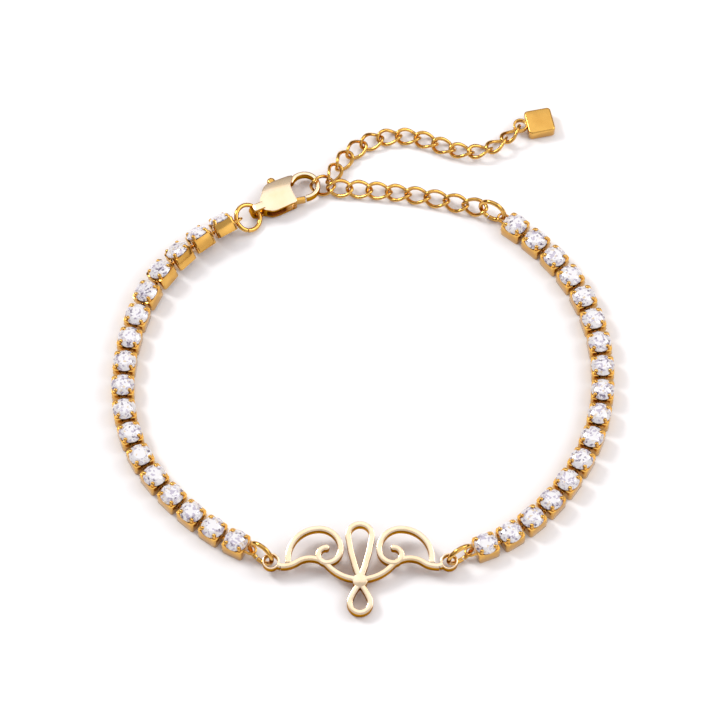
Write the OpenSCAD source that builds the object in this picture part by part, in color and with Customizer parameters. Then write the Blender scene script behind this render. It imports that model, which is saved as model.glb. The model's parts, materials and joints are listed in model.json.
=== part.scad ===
/* [Stones] */
// Diameter of a round stone
stone_d = 3.0; // [2.8:0.05:3.2]
// Width of the table across its corners, as a share of the diameter
table_share = 0.57; // [0.5:0.01:0.65]
// Height of the crown above the girdle
crown_h = 0.48; // [0.4:0.02:0.6]
// Thickness of the girdle
girdle_h = 0.1; // [0.05:0.01:0.15]
// Depth of the pavilion below the girdle
pavilion_h = 1.3; // [1.1:0.05:1.4]

/* [Settings] */
// Number of stones in each strand
stone_count = 17; // [17:1:17]
// How far a stone reaches past the cup's wall on each side
stone_overhang = 0.05; // [0:0.01:0.1]
// Thickness of a cup's wall
cup_wall = 0.3; // [0.25:0.01:0.35]
// Height of a cup's side walls
cup_h = 1.85; // [1.7:0.05:1.95]
// Radius of a cup's upright corners
cup_corner = 0.4; // [0.3:0.05:0.5]
// Depth of the dip in the end wall of a cup
cup_dip = 0.6; // [0.4:0.05:0.7]
// Space between two neighbouring cups
cup_gap = 0.6; // [0.5:0.05:0.7]
// Space between a stone and the metal that holds it
seat_gap = 0.04; // [0.03:0.01:0.06]
// Diameter of a prong
prong_d = 0.54; // [0.45:0.01:0.6]
// Height of a prong's tip above the cup's base
prong_h = 2.5; // [2.4:0.02:2.6]
// Lean of a prong over the stone in degrees
prong_lean = 18; // [12:1:22]
// Diameter of a connector's neck
neck_d = 0.42; // [0.35:0.01:0.46]
// Diameter of a connector's heads inside the cups
neck_head_d = 0.96; // [0.9:0.02:1]
// Thickness of a connector's heads
neck_head_t = 0.2; // [0.15:0.01:0.22]
// Clearance of a connector in its holes
neck_play = 0.15; // [0.12:0.01:0.17]

/* [Jump rings] */
// Outer diameter of a jump ring
ring_d = 4.0; // [3.8:0.05:4.1]
// Diameter of a jump ring's wire
ring_wire = 0.6; // [0.5:0.02:0.64]
// Distance between the two things that a jump ring joins
ring_span = 3.2; // [3.1:0.05:3.3]
// Width of the cut in a jump ring
ring_cut = 0.12; // [0.08:0.01:0.2]
// Diameter of the wire of a bail on an end cup
bail_wire = 0.34; // [0.3:0.02:0.4]
// Clearance between a jump ring's wire and what it passes through
ring_play = 0.14; // [0.12:0.01:0.18]

/* [Nameplate] */
// Distance between the two eyes of the nameplate
plate_w = 22.3; // [20:0.1:25]
// Thickness of the nameplate
plate_t = 1.2; // [1:0.05:1.3]
// Width of the nameplate's strokes
stroke_w = 0.7; // [0.55:0.05:0.9]
// Height of the nameplate's underside at its eyes
plate_lift = 1.0; // [0.9:0.05:1.1]
// Width of the rim round an eye
eye_rim = 0.26; // [0.24:0.01:0.32]

/* [Clasp] */
// Distance from the middle of the clasp's eye to the middle of its hook
clasp_reach = 7.1; // [6.8:0.1:7.6]
// Width of the clasp's case
case_w = 4.15; // [4:0.05:4.5]
// Thickness of the clasp's case
case_t = 2.2; // [2.1:0.05:2.4]
// Thickness of the case's top and bottom plates
case_plate = 0.55; // [0.45:0.05:0.6]
// Outer diameter of the hook
hook_d = 4.2; // [4:0.1:4.6]
// Width of the hook's band
hook_w = 0.6; // [0.5:0.05:0.65]
// Thickness of the hook's band
hook_t = 1.0; // [0.8:0.05:1.1]
// Diameter of the lever's pin
pin_d = 0.6; // [0.5:0.05:0.7]
// Clearance of the lever in the case and of the pin in its bores
lever_play = 0.05; // [0.04:0.01:0.07]
// Space between the gate and the tip of the hook
gate_gap = 0.15; // [0.1:0.01:0.2]
// Diameter of the lever's thumb tab
thumb_d = 1.1; // [0.9:0.05:1.2]

/* [Extender chain] */
// Distance from one link to the next
link_pitch = 2.5; // [2.45:0.05:2.7]
// Outer width of a link
link_w = 2.5; // [2.4:0.05:2.7]
// Outer width of the first link, which holds both runs
first_link_w = 2.85; // [2.8:0.05:2.9]
// Diameter of a link's wire
link_wire = 0.42; // [0.38:0.01:0.46]
// Clearance between two links that pass through each other
link_play = 0.19; // [0.17:0.01:0.22]
// Twist of each end of a link out of its plane in degrees
link_twist = 45; // [40:1:50]
// Links in the free end of the chain
tail_links = 12; // [12:1:12]

/* [Tag] */
// Length of the tag without its eye
tag_l = 3.6; // [3.2:0.1:4.2]
// Width of the tag
tag_w = 3.6; // [3:0.1:4]
// Thickness of the tag
tag_t = 1.6; // [1.5:0.05:1.8]
// Thickness of the tag's eye
tag_eye_t = 0.7; // [0.6:0.05:0.75]

/* [Hidden] */
$fn = 48;

function stone_name(side, i) = str("stone_", side, i < 10 ? "_0" : "_", i);

// Where the middle of the nameplate's eyes lies on the table
plate_at = [-0.39, -29.93];
// Which way a strand runs at shares of its length, from the nameplate to its top end
left_way = [[0, 156], [0.12, 140], [0.24, 131], [0.36, 112], [0.48, 93], [0.6, 80],
    [0.7, 70], [0.8, 52], [0.9, 39], [1, 28]];
right_way = [[0, 17], [0.12, 38], [0.24, 53], [0.36, 66], [0.48, 83], [0.6, 96],
    [0.72, 111], [0.84, 128], [0.92, 137], [1, 144]];
// Roll of the cups, their tops to the outside of the loop, at shares of the strand's length
left_roll = [[0, 0], [0.68, 0], [1, 58]];
right_roll = [[0, 0], [1, 0]];
// Which way the line through each jump ring's two holds runs, and the ring's lean about that line
left_ring_way = 144;
left_ring_lean = 97;
right_ring_way = 31;
right_ring_lean = 90;
chain_ring_way = 153;
chain_ring_lean = 95;
clasp_ring_way = 35;
clasp_ring_lean = 208;
clasp_ring_span = 3.35;
// Where the rings are cut, in degrees round them from that line
plate_ring_cut = 290;
clasp_ring_cut = 120;
chain_ring_cut = 285;
// Which way the clasp points
clasp_way = 25;
// Which way the first link points from the hook
first_link_way = 4;
// Height of the chain ring's hold on the fastened run, and that run's bow to the outside of the loop
chain_hold_h = 1.5;
chain_bow = 1.0;
// Roll of the links at shares of each run
main_roll = [[0.06, 40], [0.4, 0], [0.6, 8], [1, 45]];
tail_roll = [[0.04, 55], [0.12, 43], [0.37, 0], [0.6, 0], [1, -45]];
// Which way the free end of the chain runs at shares of its length
tail_way = [[0, 62], [0.12, 56], [0.3, 24], [0.42, 0], [0.55, -23], [0.66, -23],
    [0.77, 4], [0.88, 36], [1, 50]];
tag_way = 12;

// How far a prong's foot stands out of the cup's corner
prong_out = 0.02;
// Height and inward step of the thicker top of a cup's wall
lip_h = 0.5;
lip_in = 0.05;
// Height of the girdle above a cup's side walls
girdle_rise = 0.1;
// Room under a rolled cup for its slope
roll_room = 0.13;
// Reach of a bail past its cup to the ring's wire, and its room beyond the wire
bail_reach = 0.3;
bail_room = 0.07;
// Room round a jump ring's wire in the nameplate's eye and in the clasp's eye
plate_eye_room = 0.53;
clasp_eye_room = 0.28;
// How much wider the round ends of the nameplate's strokes are than the strokes
dot_over = 0.08;
// Width of the broken edges of the hook's band
band_edge = 0.15;
// Clearance of the pin in the case and of its ends
pin_seat = 0.02;
// Height at which a resting link clears the table
link_rest = 0.03;
// Distance from the hook's band to the middle of the first link, and that link's rise above the hook
first_reach = 0.64;
first_rise = 0.05;
// Rise of the first joint of each run above the first link
main_rise = 0.03;
tail_rise = 0.14;
// Room of the fastened run's last wire beyond the ring, and of the free run's last wire in the tag's eye
main_room = 0.06;
tag_room = 0.12;

gold = [0.93, 0.72, 0.33];
pale_gold = [0.97, 0.82, 0.5];
clear = [0.93, 0.92, 0.97];

function sum(v, n) = n < 0 ? [0, 0, 0] : v[n] + sum(v, n - 1);
function unit(v) = v / norm(v);
function dir(a) = [cos(a), sin(a), 0];
function flat(v) = [v.x, v.y, 0];
function lerp(a, b, t) = a + (b - a) * t;

// Puts the children at o, with their X axis along x and their Z axis along z
module place(o, x, z) {
    y = cross(z, x);
    multmatrix([[x.x, y.x, z.x, o.x], [x.y, y.y, z.y, o.y], [x.z, y.z, z.z, o.z]]) children();
}

// Stones

// Distance from the axis of the mid-crown and lower-girdle corners, as shares of the radius
star_share = 0.8;
lower_share = 0.24;

function ring_points(n, r, z, turn = 0) =
    [for (i = [0:n - 1]) [r * cos(360 * i / n + turn), r * sin(360 * i / n + turn), z]];

// A round brilliant with its girdle's underside at z = 0
module brilliant() {
    r = stone_d / 2;
    rt = table_share * r;
    star_z = girdle_h + crown_h * (r - star_share * r * cos(22.5)) / (r - rt);
    low_z = -pavilion_h * (r - lower_share * r * cos(22.5)) / r;
    points = concat(ring_points(8, rt, girdle_h + crown_h), ring_points(8, star_share * r, star_z, 22.5),
        ring_points(16, r, girdle_h), ring_points(16, r, 0), ring_points(8, lower_share * r, low_z, 22.5),
        [[0, 0, -pavilion_h]]);
    table = 0; star = 8; top = 16; bottom = 32; low = 48; culet = 56;
    polyhedron(points, concat(
        [[for (i = [7:-1:0]) table + i]],
        [for (i = [0:7]) [table + i, table + (i + 1) % 8, star + i]],
        [for (i = [0:7]) [table + i, star + i, top + 2 * i]],
        [for (i = [0:7]) [table + i, top + 2 * i, star + (i + 7) % 8]],
        [for (i = [0:7]) [star + i, top + 2 * i + 1, top + 2 * i]],
        [for (i = [0:7]) [star + i, top + (2 * i + 2) % 16, top + 2 * i + 1]],
        [for (i = [0:15]) [top + i, top + (i + 1) % 16, bottom + (i + 1) % 16]],
        [for (i = [0:15]) [top + i, bottom + (i + 1) % 16, bottom + i]],
        [for (i = [0:7]) [low + i, bottom + 2 * i, bottom + 2 * i + 1]],
        [for (i = [0:7]) [low + i, bottom + 2 * i + 1, bottom + (2 * i + 2) % 16]],
        [for (i = [0:7]) [culet, bottom + 2 * i, low + i]],
        [for (i = [0:7]) [culet, low + (i + 7) % 8, bottom + 2 * i]]));
}

// The room that a stone takes, with the seat gap all round
module stone_room() {
    r = stone_d / 2 + seat_gap;
    rt = table_share * stone_d / 2 + seat_gap;
    rotate_extrude() polygon([[0, -pavilion_h - seat_gap], [r, -seat_gap], [r, girdle_h + seat_gap],
        [rt, girdle_h + crown_h + seat_gap], [rt, girdle_h + crown_h + cup_h],
        [0, girdle_h + crown_h + cup_h]]);
}

// Settings

cup_w = stone_d - 2 * stone_overhang;
cup_pitch = cup_w + cup_gap;
// Height of the connectors' holes, which is the line that the strand rolls about
axis_h = 0.8;
girdle_z = cup_h + girdle_rise;
// Height of the bails for the jump rings that stand upright
bail_h = 1.4;
bail_half = (ring_wire + bail_wire) / 2 + ring_play;
// Distance from a cup's end wall to the middle of the jump ring's wire
bail_seat = ring_wire / 2 + bail_reach;

// Height of a cup's hole line when it lies rolled on the table, with room for its slope
function roll_h(roll) = axis_h * cos(roll) + cup_w / 2 * sin(roll) + roll_room * min(1, roll / 10);

module cup_plan(w, r) {
    square([w, w - 2 * r], center = true);
    square([w - 2 * r, w], center = true);
    for (x = [-1, 1], y = [-1, 1]) translate([x * (w / 2 - r), y * (w / 2 - r)]) circle(r);
}

module prong() {
    foot = cup_w / 2 - prong_d / 2 + prong_out;
    z0 = cup_h / 2;
    reach = (prong_h - prong_d / 2 - z0) / cos(prong_lean);
    translate([foot, foot, z0]) rotate([0, 0, 45]) rotate([0, -prong_lean, 0]) {
        cylinder(d = prong_d, h = reach);
        translate([0, 0, reach]) sphere(d = prong_d);
    }
}

// A bail on the end wall towards +X, at height h
module bail(h) {
    leg = bail_seat + ring_wire / 2 + ring_play + bail_room + bail_wire / 2 - bail_half;
    translate([cup_w / 2, 0, h]) {
        for (y = [-1, 1]) translate([-cup_wall / 2, y * bail_half, 0]) rotate([0, 90, 0])
            cylinder(d = bail_wire, h = cup_wall / 2 + leg);
        translate([leg, 0, 0]) rotate([0, 0, -90])
            rotate_extrude(angle = 180) translate([bail_half, 0]) circle(d = bail_wire);
    }
}

// A cup with its base at z = 0, running along X; ends says which end walls have a connector's hole
module cup(ends) {
    difference() {
        union() {
            linear_extrude(cup_h) cup_plan(cup_w, cup_corner);
            for (a = [0:90:270]) rotate([0, 0, a]) prong();
        }
        translate([0, 0, -lip_h]) linear_extrude(cup_h)
            cup_plan(cup_w - 2 * cup_wall, cup_corner - cup_wall / 2);
        translate([0, 0, cup_h - lip_h - 0.01]) linear_extrude(cup_h)
            cup_plan(cup_w - 2 * (cup_wall + lip_in), cup_corner - cup_wall / 2);
        for (x = ends) translate([x * cup_w / 2, 0, 0]) {
            translate([-cup_wall * 1.5, 0, axis_h]) rotate([0, 90, 0])
                cylinder(d = neck_d + 2 * neck_play, h = 3 * cup_wall);
            translate([-cup_wall * 1.5, 0, cup_h]) rotate([0, 90, 0]) cylinder(r = cup_dip, h = 3 * cup_wall);
        }
        translate([0, 0, girdle_z]) stone_room();
    }
}

// The bent line of a strand: which way each cup runs, how it is rolled and where it meets the next
function strand_ways(way) = [for (i = [0:stone_count - 1]) lookup((i + 0.5) / stone_count, way)];
function strand_rolls(roll) = [for (i = [0:stone_count - 1]) lookup((i + 0.5) / stone_count, roll)];
function strand_joints(start, ways, rolls) =
    let (steps = [for (a = ways) cup_pitch * dir(a)])
    [for (i = [0:stone_count])
        let (p = start + sum(steps, i - 1),
             before = rolls[max(0, i - 1)], after = rolls[min(i, stone_count - 1)])
        [p.x, p.y, (roll_h(before) + roll_h(after)) / 2]];

left_ways = strand_ways(left_way);
right_ways = strand_ways(right_way);
left_rolls = strand_rolls(left_roll);
right_rolls = strand_rolls(right_roll);
function rolls_of(side) = side == "left" ? left_rolls : right_rolls;
function joints_of(side) = side == "left" ? left_joints : right_joints;

// A point on a cup's hole line, at distance t from the cup's middle
function on_cup(joints, i, t) = lerp(joints[i], joints[i + 1], 0.5) + t * unit(joints[i + 1] - joints[i]);

module at_cup(side, i) {
    joints = joints_of(side);
    x = unit(joints[i + 1] - joints[i]);
    place(on_cup(joints, i, 0), x, unit([0, 0, 1] - x * x.z))
        rotate([-rolls_of(side)[i], 0, 0]) translate([0, 0, -axis_h]) children();
}

module stone(side, i) {
    color(clear) at_cup(side, i) translate([0, 0, girdle_z]) brilliant();
}

// A connector between two points on the outside of neighbouring end walls
module connector(a, b) {
    x = unit(b - a);
    reach = norm(b - a) / 2 + cup_wall + neck_play;
    place(lerp(a, b, 0.5), x, unit(cross(x, cross([0, 0, 1], x)))) rotate([0, 90, 0]) {
        translate([0, 0, -reach - neck_head_t / 2]) cylinder(d = neck_d, h = 2 * reach + neck_head_t);
        for (z = [-reach - neck_head_t, reach]) translate([0, 0, z])
            cylinder(d = neck_head_d, h = neck_head_t);
    }
}

module settings(side, top_bail_h) {
    last = stone_count - 1;
    color(gold) for (i = [0:last]) {
        at_cup(side, i) {
            cup(i == 0 ? [1] : i == last ? [-1] : [-1, 1]);
            if (i == 0) mirror([1, 0, 0]) bail(bail_h);
            if (i == last) bail(top_bail_h);
        }
        if (i < last)
            connector(on_cup(joints_of(side), i, cup_w / 2), on_cup(joints_of(side), i + 1, -cup_w / 2));
    }
}

// Jump rings

ring_r = (ring_d - ring_wire) / 2;

// Centre of a jump ring whose wire passes through a and b, leaning from the table about that line
function ring_side(a, b, lean) =
    let (x = unit(b - a), side = unit(cross([0, 0, 1], x)), up = cross(x, side))
    side * cos(lean) + up * sin(lean);
function ring_centre(a, b, lean) =
    lerp(a, b, 0.5) + sqrt(max(0, ring_r * ring_r - pow(norm(b - a) / 2, 2))) * ring_side(a, b, lean);

// A jump ring through a and b, with its cut at an angle from the line between them
module jump_ring(a, b, lean, cut_at) {
    x = unit(b - a);
    w = ring_side(a, b, lean);
    half_cut = asin(ring_cut / 2 / ring_r);
    color(gold) place(ring_centre(a, b, lean), x, cross(x, w))
        rotate([0, 0, cut_at + half_cut])
            rotate_extrude(angle = 360 - 2 * half_cut) translate([ring_r, 0]) circle(d = ring_wire);
}

// Nameplate: an openwork scroll, each stroke a row of arcs that run on from each other

plate_eye_r = ring_wire / 2 + plate_eye_room;
// The lowest point of the plate below the line of its eyes, as a share of its width
plate_drop = 0.3;
plate_tilt = asin(plate_lift / (plate_drop * plate_w + (stroke_w + dot_over) / 2));

// Strokes of the right half in shares of the plate's width: start, heading and arcs as radius and sweep
wave = [[0, -0.105], 0, [[0.242, 48], [0.134, -82], [0.143, 38]]];
lower_drop = [[0, -plate_drop], 0, [[0.058, 112], [0.36, 22]]];
upper_drop = [[0, 0.22], 0, [[0.067, -98], [1.08, -14]]];
scroll = [[0.403, 0], 84, [[0.175, 96], [0.121, 90], [0.081, 90], [0.045, 180]]];
// The knot where the drops cross the wave
knot = [0, -0.113];
knot_r = 1.35 * stroke_w;

function plate_point(p) = [plate_at.x + p.x, plate_at.y + p.y * cos(plate_tilt) - p.z * sin(plate_tilt),
    plate_lift + p.y * sin(plate_tilt) + p.z * cos(plate_tilt)];
function arc_centre(p, h, r, sweep) = p + (sweep > 0 ? r : -r) * [-sin(h), cos(h)];
function arc_end(p, h, r, sweep) =
    arc_centre(p, h, r, sweep) + (sweep > 0 ? r : -r) * [sin(h + sweep), -cos(h + sweep)];
function stroke_end(p, h, arcs, i = 0) = i == len(arcs) ? p
    : stroke_end(arc_end(p, h, arcs[i][0] * plate_w, arcs[i][1]), h + arcs[i][1], arcs, i + 1);

module stroke(p, h, arcs, i = 0) {
    r = arcs[i][0] * plate_w;
    sweep = arcs[i][1];
    translate(arc_centre(p, h, r, sweep))
        rotate([0, 0, sweep > 0 ? h - 90 : h + 90 + sweep])
            rotate_extrude(angle = abs(sweep)) translate([r - stroke_w / 2, 0]) square([stroke_w, plate_t]);
    end = arc_end(p, h, r, sweep);
    translate(p) cylinder(d = stroke_w + dot_over, h = plate_t);
    if (i + 1 < len(arcs)) stroke(end, h + sweep, arcs, i + 1);
    else translate(end) cylinder(d = stroke_w + dot_over, h = plate_t);
}

module nameplate() {
    eye = [plate_w / 2, 0];
    color(pale_gold) translate([plate_at.x, plate_at.y, plate_lift]) rotate([plate_tilt, 0, 0])
        difference() {
            union() for (side = [0, 1]) mirror([side, 0, 0]) {
                for (s = [wave, lower_drop, upper_drop, scroll]) stroke(s[0] * plate_w, s[1], s[2]);
                translate(eye) cylinder(r = plate_eye_r + eye_rim, h = plate_t);
                linear_extrude(plate_t) bar(stroke_end(wave[0] * plate_w, wave[1], wave[2]), eye, stroke_w);
                translate(knot * plate_w) cylinder(r = knot_r, h = plate_t);
            }
            for (x = [-1, 1]) translate([x * plate_w / 2, 0, -1]) cylinder(r = plate_eye_r, h = plate_t + 2);
        }
}

// Where the wire of each lower ring passes: the plate's eye, then the bail of the first cup
function plate_eye(side) = plate_point([side * plate_w / 2, 0, plate_t / 2]);
function ring_far(from, way, span, z) =
    let (fall = z - from.z) [from.x, from.y, z] + sqrt(span * span - fall * fall) * dir(way);
left_bail = ring_far(plate_eye(-1), left_ring_way, ring_span, bail_h);
right_bail = ring_far(plate_eye(1), right_ring_way, ring_span, bail_h);
left_joints = strand_joints(flat(left_bail) + (bail_seat - cup_gap / 2) * dir(left_ways[0]),
    left_ways, left_rolls);
right_joints = strand_joints(flat(right_bail) + (bail_seat - cup_gap / 2) * dir(right_ways[0]),
    right_ways, right_rolls);

// Top ends of the strands
clasp_bail = on_cup(left_joints, stone_count - 1, cup_w / 2 + bail_seat);
chain_bail = on_cup(right_joints, stone_count - 1, cup_w / 2 + bail_seat) + [0, 0, bail_h - axis_h];

// Clasp, in its own frame: the middle of its eye at the origin, the hook along +X, its base at z = 0

eye_wire = 0.5;
eye_r = ring_wire / 2 + clasp_eye_room + eye_wire / 2;
mid_z = case_t / 2;
// Outline of the case in shares of the reach and of the width, counter-clockwise from the neck
case_line = [[0.085, -0.12], [0.16, -0.24], [0.25, -0.335], [0.4, -0.345], [0.6, -0.325], [0.7, -0.325],
    [0.73, -0.24], [0.725, 0.05], [0.75, 0.3], [0.83, 0.5], [0.87, 0.62], [0.8, 0.665], [0.62, 0.67],
    [0.4, 0.665], [0.28, 0.59], [0.19, 0.4], [0.085, 0.14]];
// The room between the two plates for the lever, open along the outer side and round the thumb tab
slot_line = [[0.14, -1], [1, -1], [1, 0.1], [0.7, 0.1], [0.62, 0.3], [0.62, 2], [0.14, 2]];
hook_at = [clasp_reach, 0.18 * case_w];
pivot = [0.6 * clasp_reach, -0.15 * case_w];
thumb = [0.48 * clasp_reach, 0.77 * case_w];
gate_tip = [0.905 * clasp_reach, -0.265 * case_w];
gate_w = 0.6;
gate_r = norm(gate_tip - pivot);
arm_w = 0.8;
hub_d = 1.25;
lever_t = case_t - 2 * case_plate - 2 * lever_play;
pin_skin = 0.2;

// A smooth closed line through the points, with n steps between each two
function spline(p, n) = [for (i = [0:len(p) - 1], j = [0:n - 1])
    let (k = len(p), t = j / n, a = p[(i + k - 1) % k], b = p[i], c = p[(i + 1) % k], d = p[(i + 2) % k])
    0.5 * (2 * b + (c - a) * t + (2 * a - 5 * b + 4 * c - d) * t * t + (3 * b - a - 3 * c + d) * t * t * t)];
function on_case(line) = [for (p = line) [p.x * clasp_reach, p.y * case_w]];

clasp_eye_at = ring_far(clasp_bail, clasp_ring_way, clasp_ring_span, mid_z);

module at_clasp() {
    translate(flat(clasp_eye_at)) rotate([0, 0, clasp_way]) children();
}

// The hook's band in section, with its edges broken
module band_section(w, t, c) {
    polygon([[-w / 2 + c, -t / 2], [w / 2 - c, -t / 2], [w / 2, -t / 2 + c], [w / 2, t / 2 - c],
        [w / 2 - c, t / 2], [-w / 2 + c, t / 2], [-w / 2, t / 2 - c], [-w / 2, -t / 2 + c]]);
}

module clasp_body() {
    color(gold) at_clasp() difference() {
        union() {
            difference() {
                linear_extrude(case_t) polygon(spline(on_case(case_line), 4));
                translate([0, 0, case_plate]) linear_extrude(case_t - 2 * case_plate)
                    polygon(on_case(slot_line));
            }
            translate([hook_at.x, hook_at.y, mid_z]) rotate([0, 0, -108])
                rotate_extrude(angle = 250) translate([(hook_d - hook_w) / 2, 0])
                    band_section(hook_w, hook_t, band_edge);
            translate([0, 0, mid_z]) rotate([90, 0, 0])
                rotate_extrude() translate([eye_r, 0]) circle(d = eye_wire);
        }
        translate([pivot.x, pivot.y, mid_z - hook_t]) cylinder(r = gate_r + gate_gap, h = 2 * hook_t);
        translate([pivot.x, pivot.y, -1]) cylinder(d = pin_d + 2 * pin_seat, h = case_t - pin_skin + 1);
    }
}

module clasp_pin() {
    color(gold) at_clasp() translate([pivot.x, pivot.y, pin_seat])
        cylinder(d = pin_d, h = case_t - pin_skin - 2 * pin_seat);
}

// A bar of width w from a towards b, rounded at b
module bar(a, b, w) {
    way = atan2(b.y - a.y, b.x - a.x);
    translate(a) rotate(way) translate([0, -w / 2]) square([norm(b - a), w]);
    translate(b) circle(d = w);
}

module clasp_lever() {
    color(gold) at_clasp() translate([0, 0, mid_z - lever_t / 2]) {
        linear_extrude(lever_t) difference() {
            union() {
                intersection() {
                    bar(pivot, pivot + 1.5 * (gate_tip - pivot), gate_w);
                    translate(pivot) circle(gate_r);
                }
                translate(pivot) circle(d = hub_d);
                bar(pivot, thumb, arm_w);
                translate(thumb) circle(d = thumb_d);
            }
            translate(pivot) circle(pin_d / 2 + lever_play);
        }
    }
}

// Links: each a bent wire whose two ends are twisted out of its plane by opposite angles

link_a = (link_pitch + link_wire + link_play) / 2;
link_b = (link_w - link_wire) / 2;
first_link_b = (first_link_w - link_wire) / 2;

function link_line(t, a, b, roll) =
    let (f = roll - link_twist * cos(t)) [a * cos(t), b * sin(t) * cos(f), b * sin(t) * sin(f)];
// Height of a link's axis when its lowest side rests on the table
function link_h(roll) = link_wire / 2 + link_rest
    + max([for (t = [0:10:350]) link_b * abs(sin(t) * sin(roll - link_twist * cos(t)))]);

// A link from joint p to joint q of a chain
module link(p, q, roll, b = link_b) {
    n = 16;
    m = 6;
    a = (norm(q - p) + link_wire + link_play) / 2;
    points = [for (k = [0:n - 1], j = [0:m - 1])
        let (t = 360 * k / n, c = link_line(t, a, b, roll),
             along = unit(link_line(t + 3, a, b, roll) - link_line(t - 3, a, b, roll)),
             out = unit(c - along * (c * along)))
        c + link_wire / 2 * (cos(360 * j / m) * out + sin(360 * j / m) * cross(along, out))];
    function at(k, j) = m * (k % n) + j % m;
    x = unit(q - p);
    place(lerp(p, q, 0.5), x, unit([0, 0, 1] - x * x.z))
        polyhedron(points, [for (k = [0:n - 1], j = [0:m - 1], half = [0, 1])
            half == 0 ? [at(k, j), at(k + 1, j), at(k + 1, j + 1)]
                : [at(k, j), at(k + 1, j + 1), at(k, j + 1)]]);
}

// The first link hangs on the hook's band and holds both runs in its other end
first_way = clasp_way + atan2(hook_at.y, hook_at.x);
hook_middle = clasp_eye_at + norm(hook_at) * dir(first_way);
first_at = hook_middle + ((hook_d - hook_w) / 2 + first_reach) * dir(first_link_way) + [0, 0, first_rise];
first_roll = 35;
first_ends = [for (s = [-1, 1]) first_at + s * link_pitch / 2 * dir(first_link_way)];
// Where the first wire of each run passes inside the first link, in shares of its half length and width
main_seat = [0.39, -0.29];
tail_seat = [0.39, 0.31];
function seat(s) = first_at + s.x * link_a * dir(first_link_way)
    + s.y * first_link_b * dir(first_link_way + 90);
function hang(s, way, z) = flat(seat(s)) + (link_wire + link_play) / 2 * dir(way) + [0, 0, z];

// Fastened run, from the first link to the ring at the end of the right strand
chain_hold = ring_far(chain_bail, chain_ring_way, ring_span, chain_hold_h);
main_toward = atan2(chain_hold.y - first_at.y, chain_hold.x - first_at.x);
main_start = hang(main_seat, main_toward, first_at.z + main_rise);
main_end = chain_hold + (ring_wire / 2 + ring_play + main_room - link_play / 2) * dir(main_toward);
main_links = round(norm(main_end - main_start) / link_pitch);
function main_roll_at(i) = lookup((i + 0.5) / main_links, main_roll);
function main_joint(i) =
    let (bow = chain_bow * sin(180 * i / main_links) * dir(main_toward + 90),
         p = lerp(main_start, main_end, i / main_links) + bow)
    i == 0 ? main_start : i == main_links ? main_end
        : [p.x, p.y, (link_h(main_roll_at(i - 1)) + link_h(main_roll_at(i))) / 2];

module chain_main() {
    color(gold) {
        link(first_ends[0], first_ends[1], first_roll, first_link_b);
        for (i = [0:main_links - 1]) link(main_joint(i), main_joint(i + 1), main_roll_at(i));
    }
}

// Free run, from the first link to the tag
function tail_roll_at(i) = lookup((i + 0.5) / tail_links, tail_roll);
tail_start = hang(tail_seat, tail_way[0][1], first_at.z + tail_rise);
tail_ways = [for (i = [0:tail_links - 1]) lookup((i + 0.5) / tail_links, tail_way)];
tail_steps = [for (a = tail_ways) link_pitch * dir(a)];
tail_joints = [for (i = [0:tail_links])
    let (p = tail_start + sum(tail_steps, i - 1))
    i == 0 ? tail_start : i == tail_links ? [p.x, p.y, link_h(45)]
        : [p.x, p.y, (link_h(tail_roll_at(i - 1)) + link_h(tail_roll_at(i))) / 2]];

module chain_tail() {
    color(gold) for (i = [0:tail_links - 1]) link(tail_joints[i], tail_joints[i + 1], tail_roll_at(i));
}

// Tag: a bare rounded block with an eye, flat on the table

tag_eye_r = 0.68;
tag_rim = 0.28;
tag_corner = 0.5;
tag_edge = 0.2;
// The last link's wire passes through the eye, with the rim of the eye between it and the last joint
tag_eye_at = tail_joints[tail_links]
    + (tag_eye_r - link_play / 2 - tag_room) * dir(tail_ways[tail_links - 1]);

module tag_layer(grow, z, h) {
    translate([tag_eye_r + tag_rim / 2 - grow, -tag_w / 2 - grow, z]) linear_extrude(h)
        translate([tag_l / 2 + grow, tag_w / 2 + grow])
            round_plan(tag_l + 2 * grow, tag_w + 2 * grow, tag_corner + grow);
}

module round_plan(l, w, r) {
    square([l, w - 2 * r], center = true);
    square([l - 2 * r, w], center = true);
    for (x = [-1, 1], y = [-1, 1]) translate([x * (l / 2 - r), y * (w / 2 - r)]) circle(r);
}

module tag() {
    eye_z = tag_eye_at.z - tag_eye_t / 2;
    color(gold) translate(flat(tag_eye_at)) rotate([0, 0, tag_way]) difference() {
        union() {
            tag_layer(-tag_edge, 0, tag_t);
            tag_layer(0, tag_edge, tag_t - 2 * tag_edge);
            translate([0, 0, eye_z]) cylinder(r = tag_eye_r + tag_rim, h = tag_eye_t);
        }
        translate([0, 0, eye_z - 1]) cylinder(r = tag_eye_r, h = tag_eye_t + 2);
    }
}

for (i = [1:stone_count]) {
    stone("left", i - 1);
    stone("right", i - 1);
}
settings("left", axis_h);  // settings_left
settings("right", bail_h);  // settings_right
jump_ring(plate_eye(-1), left_bail, left_ring_lean, plate_ring_cut);  // ring_plate_left
jump_ring(plate_eye(1), right_bail, right_ring_lean, plate_ring_cut);  // ring_plate_right
jump_ring(clasp_bail, clasp_eye_at, clasp_ring_lean, clasp_ring_cut);  // ring_clasp
jump_ring(chain_bail, chain_hold, chain_ring_lean, chain_ring_cut);  // ring_chain
nameplate();
clasp_body();
clasp_pin();
clasp_lever();
chain_main();
chain_tail();
tag();
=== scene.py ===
"""A gold bracelet of square-set stones with an openwork scroll plate, lying closed on a pale table.

Every piece is modelled in millimetres in its own frame, laid along the bracelet's line and then
brought to metres. The line itself comes from the same tables as the solids.
"""

import json
import logging
import math
from contextlib import contextmanager
from dataclasses import dataclass, field
from enum import Enum
from typing import Callable, Iterator, Sequence

import bpy
from mathutils import Matrix, Vector

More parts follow.
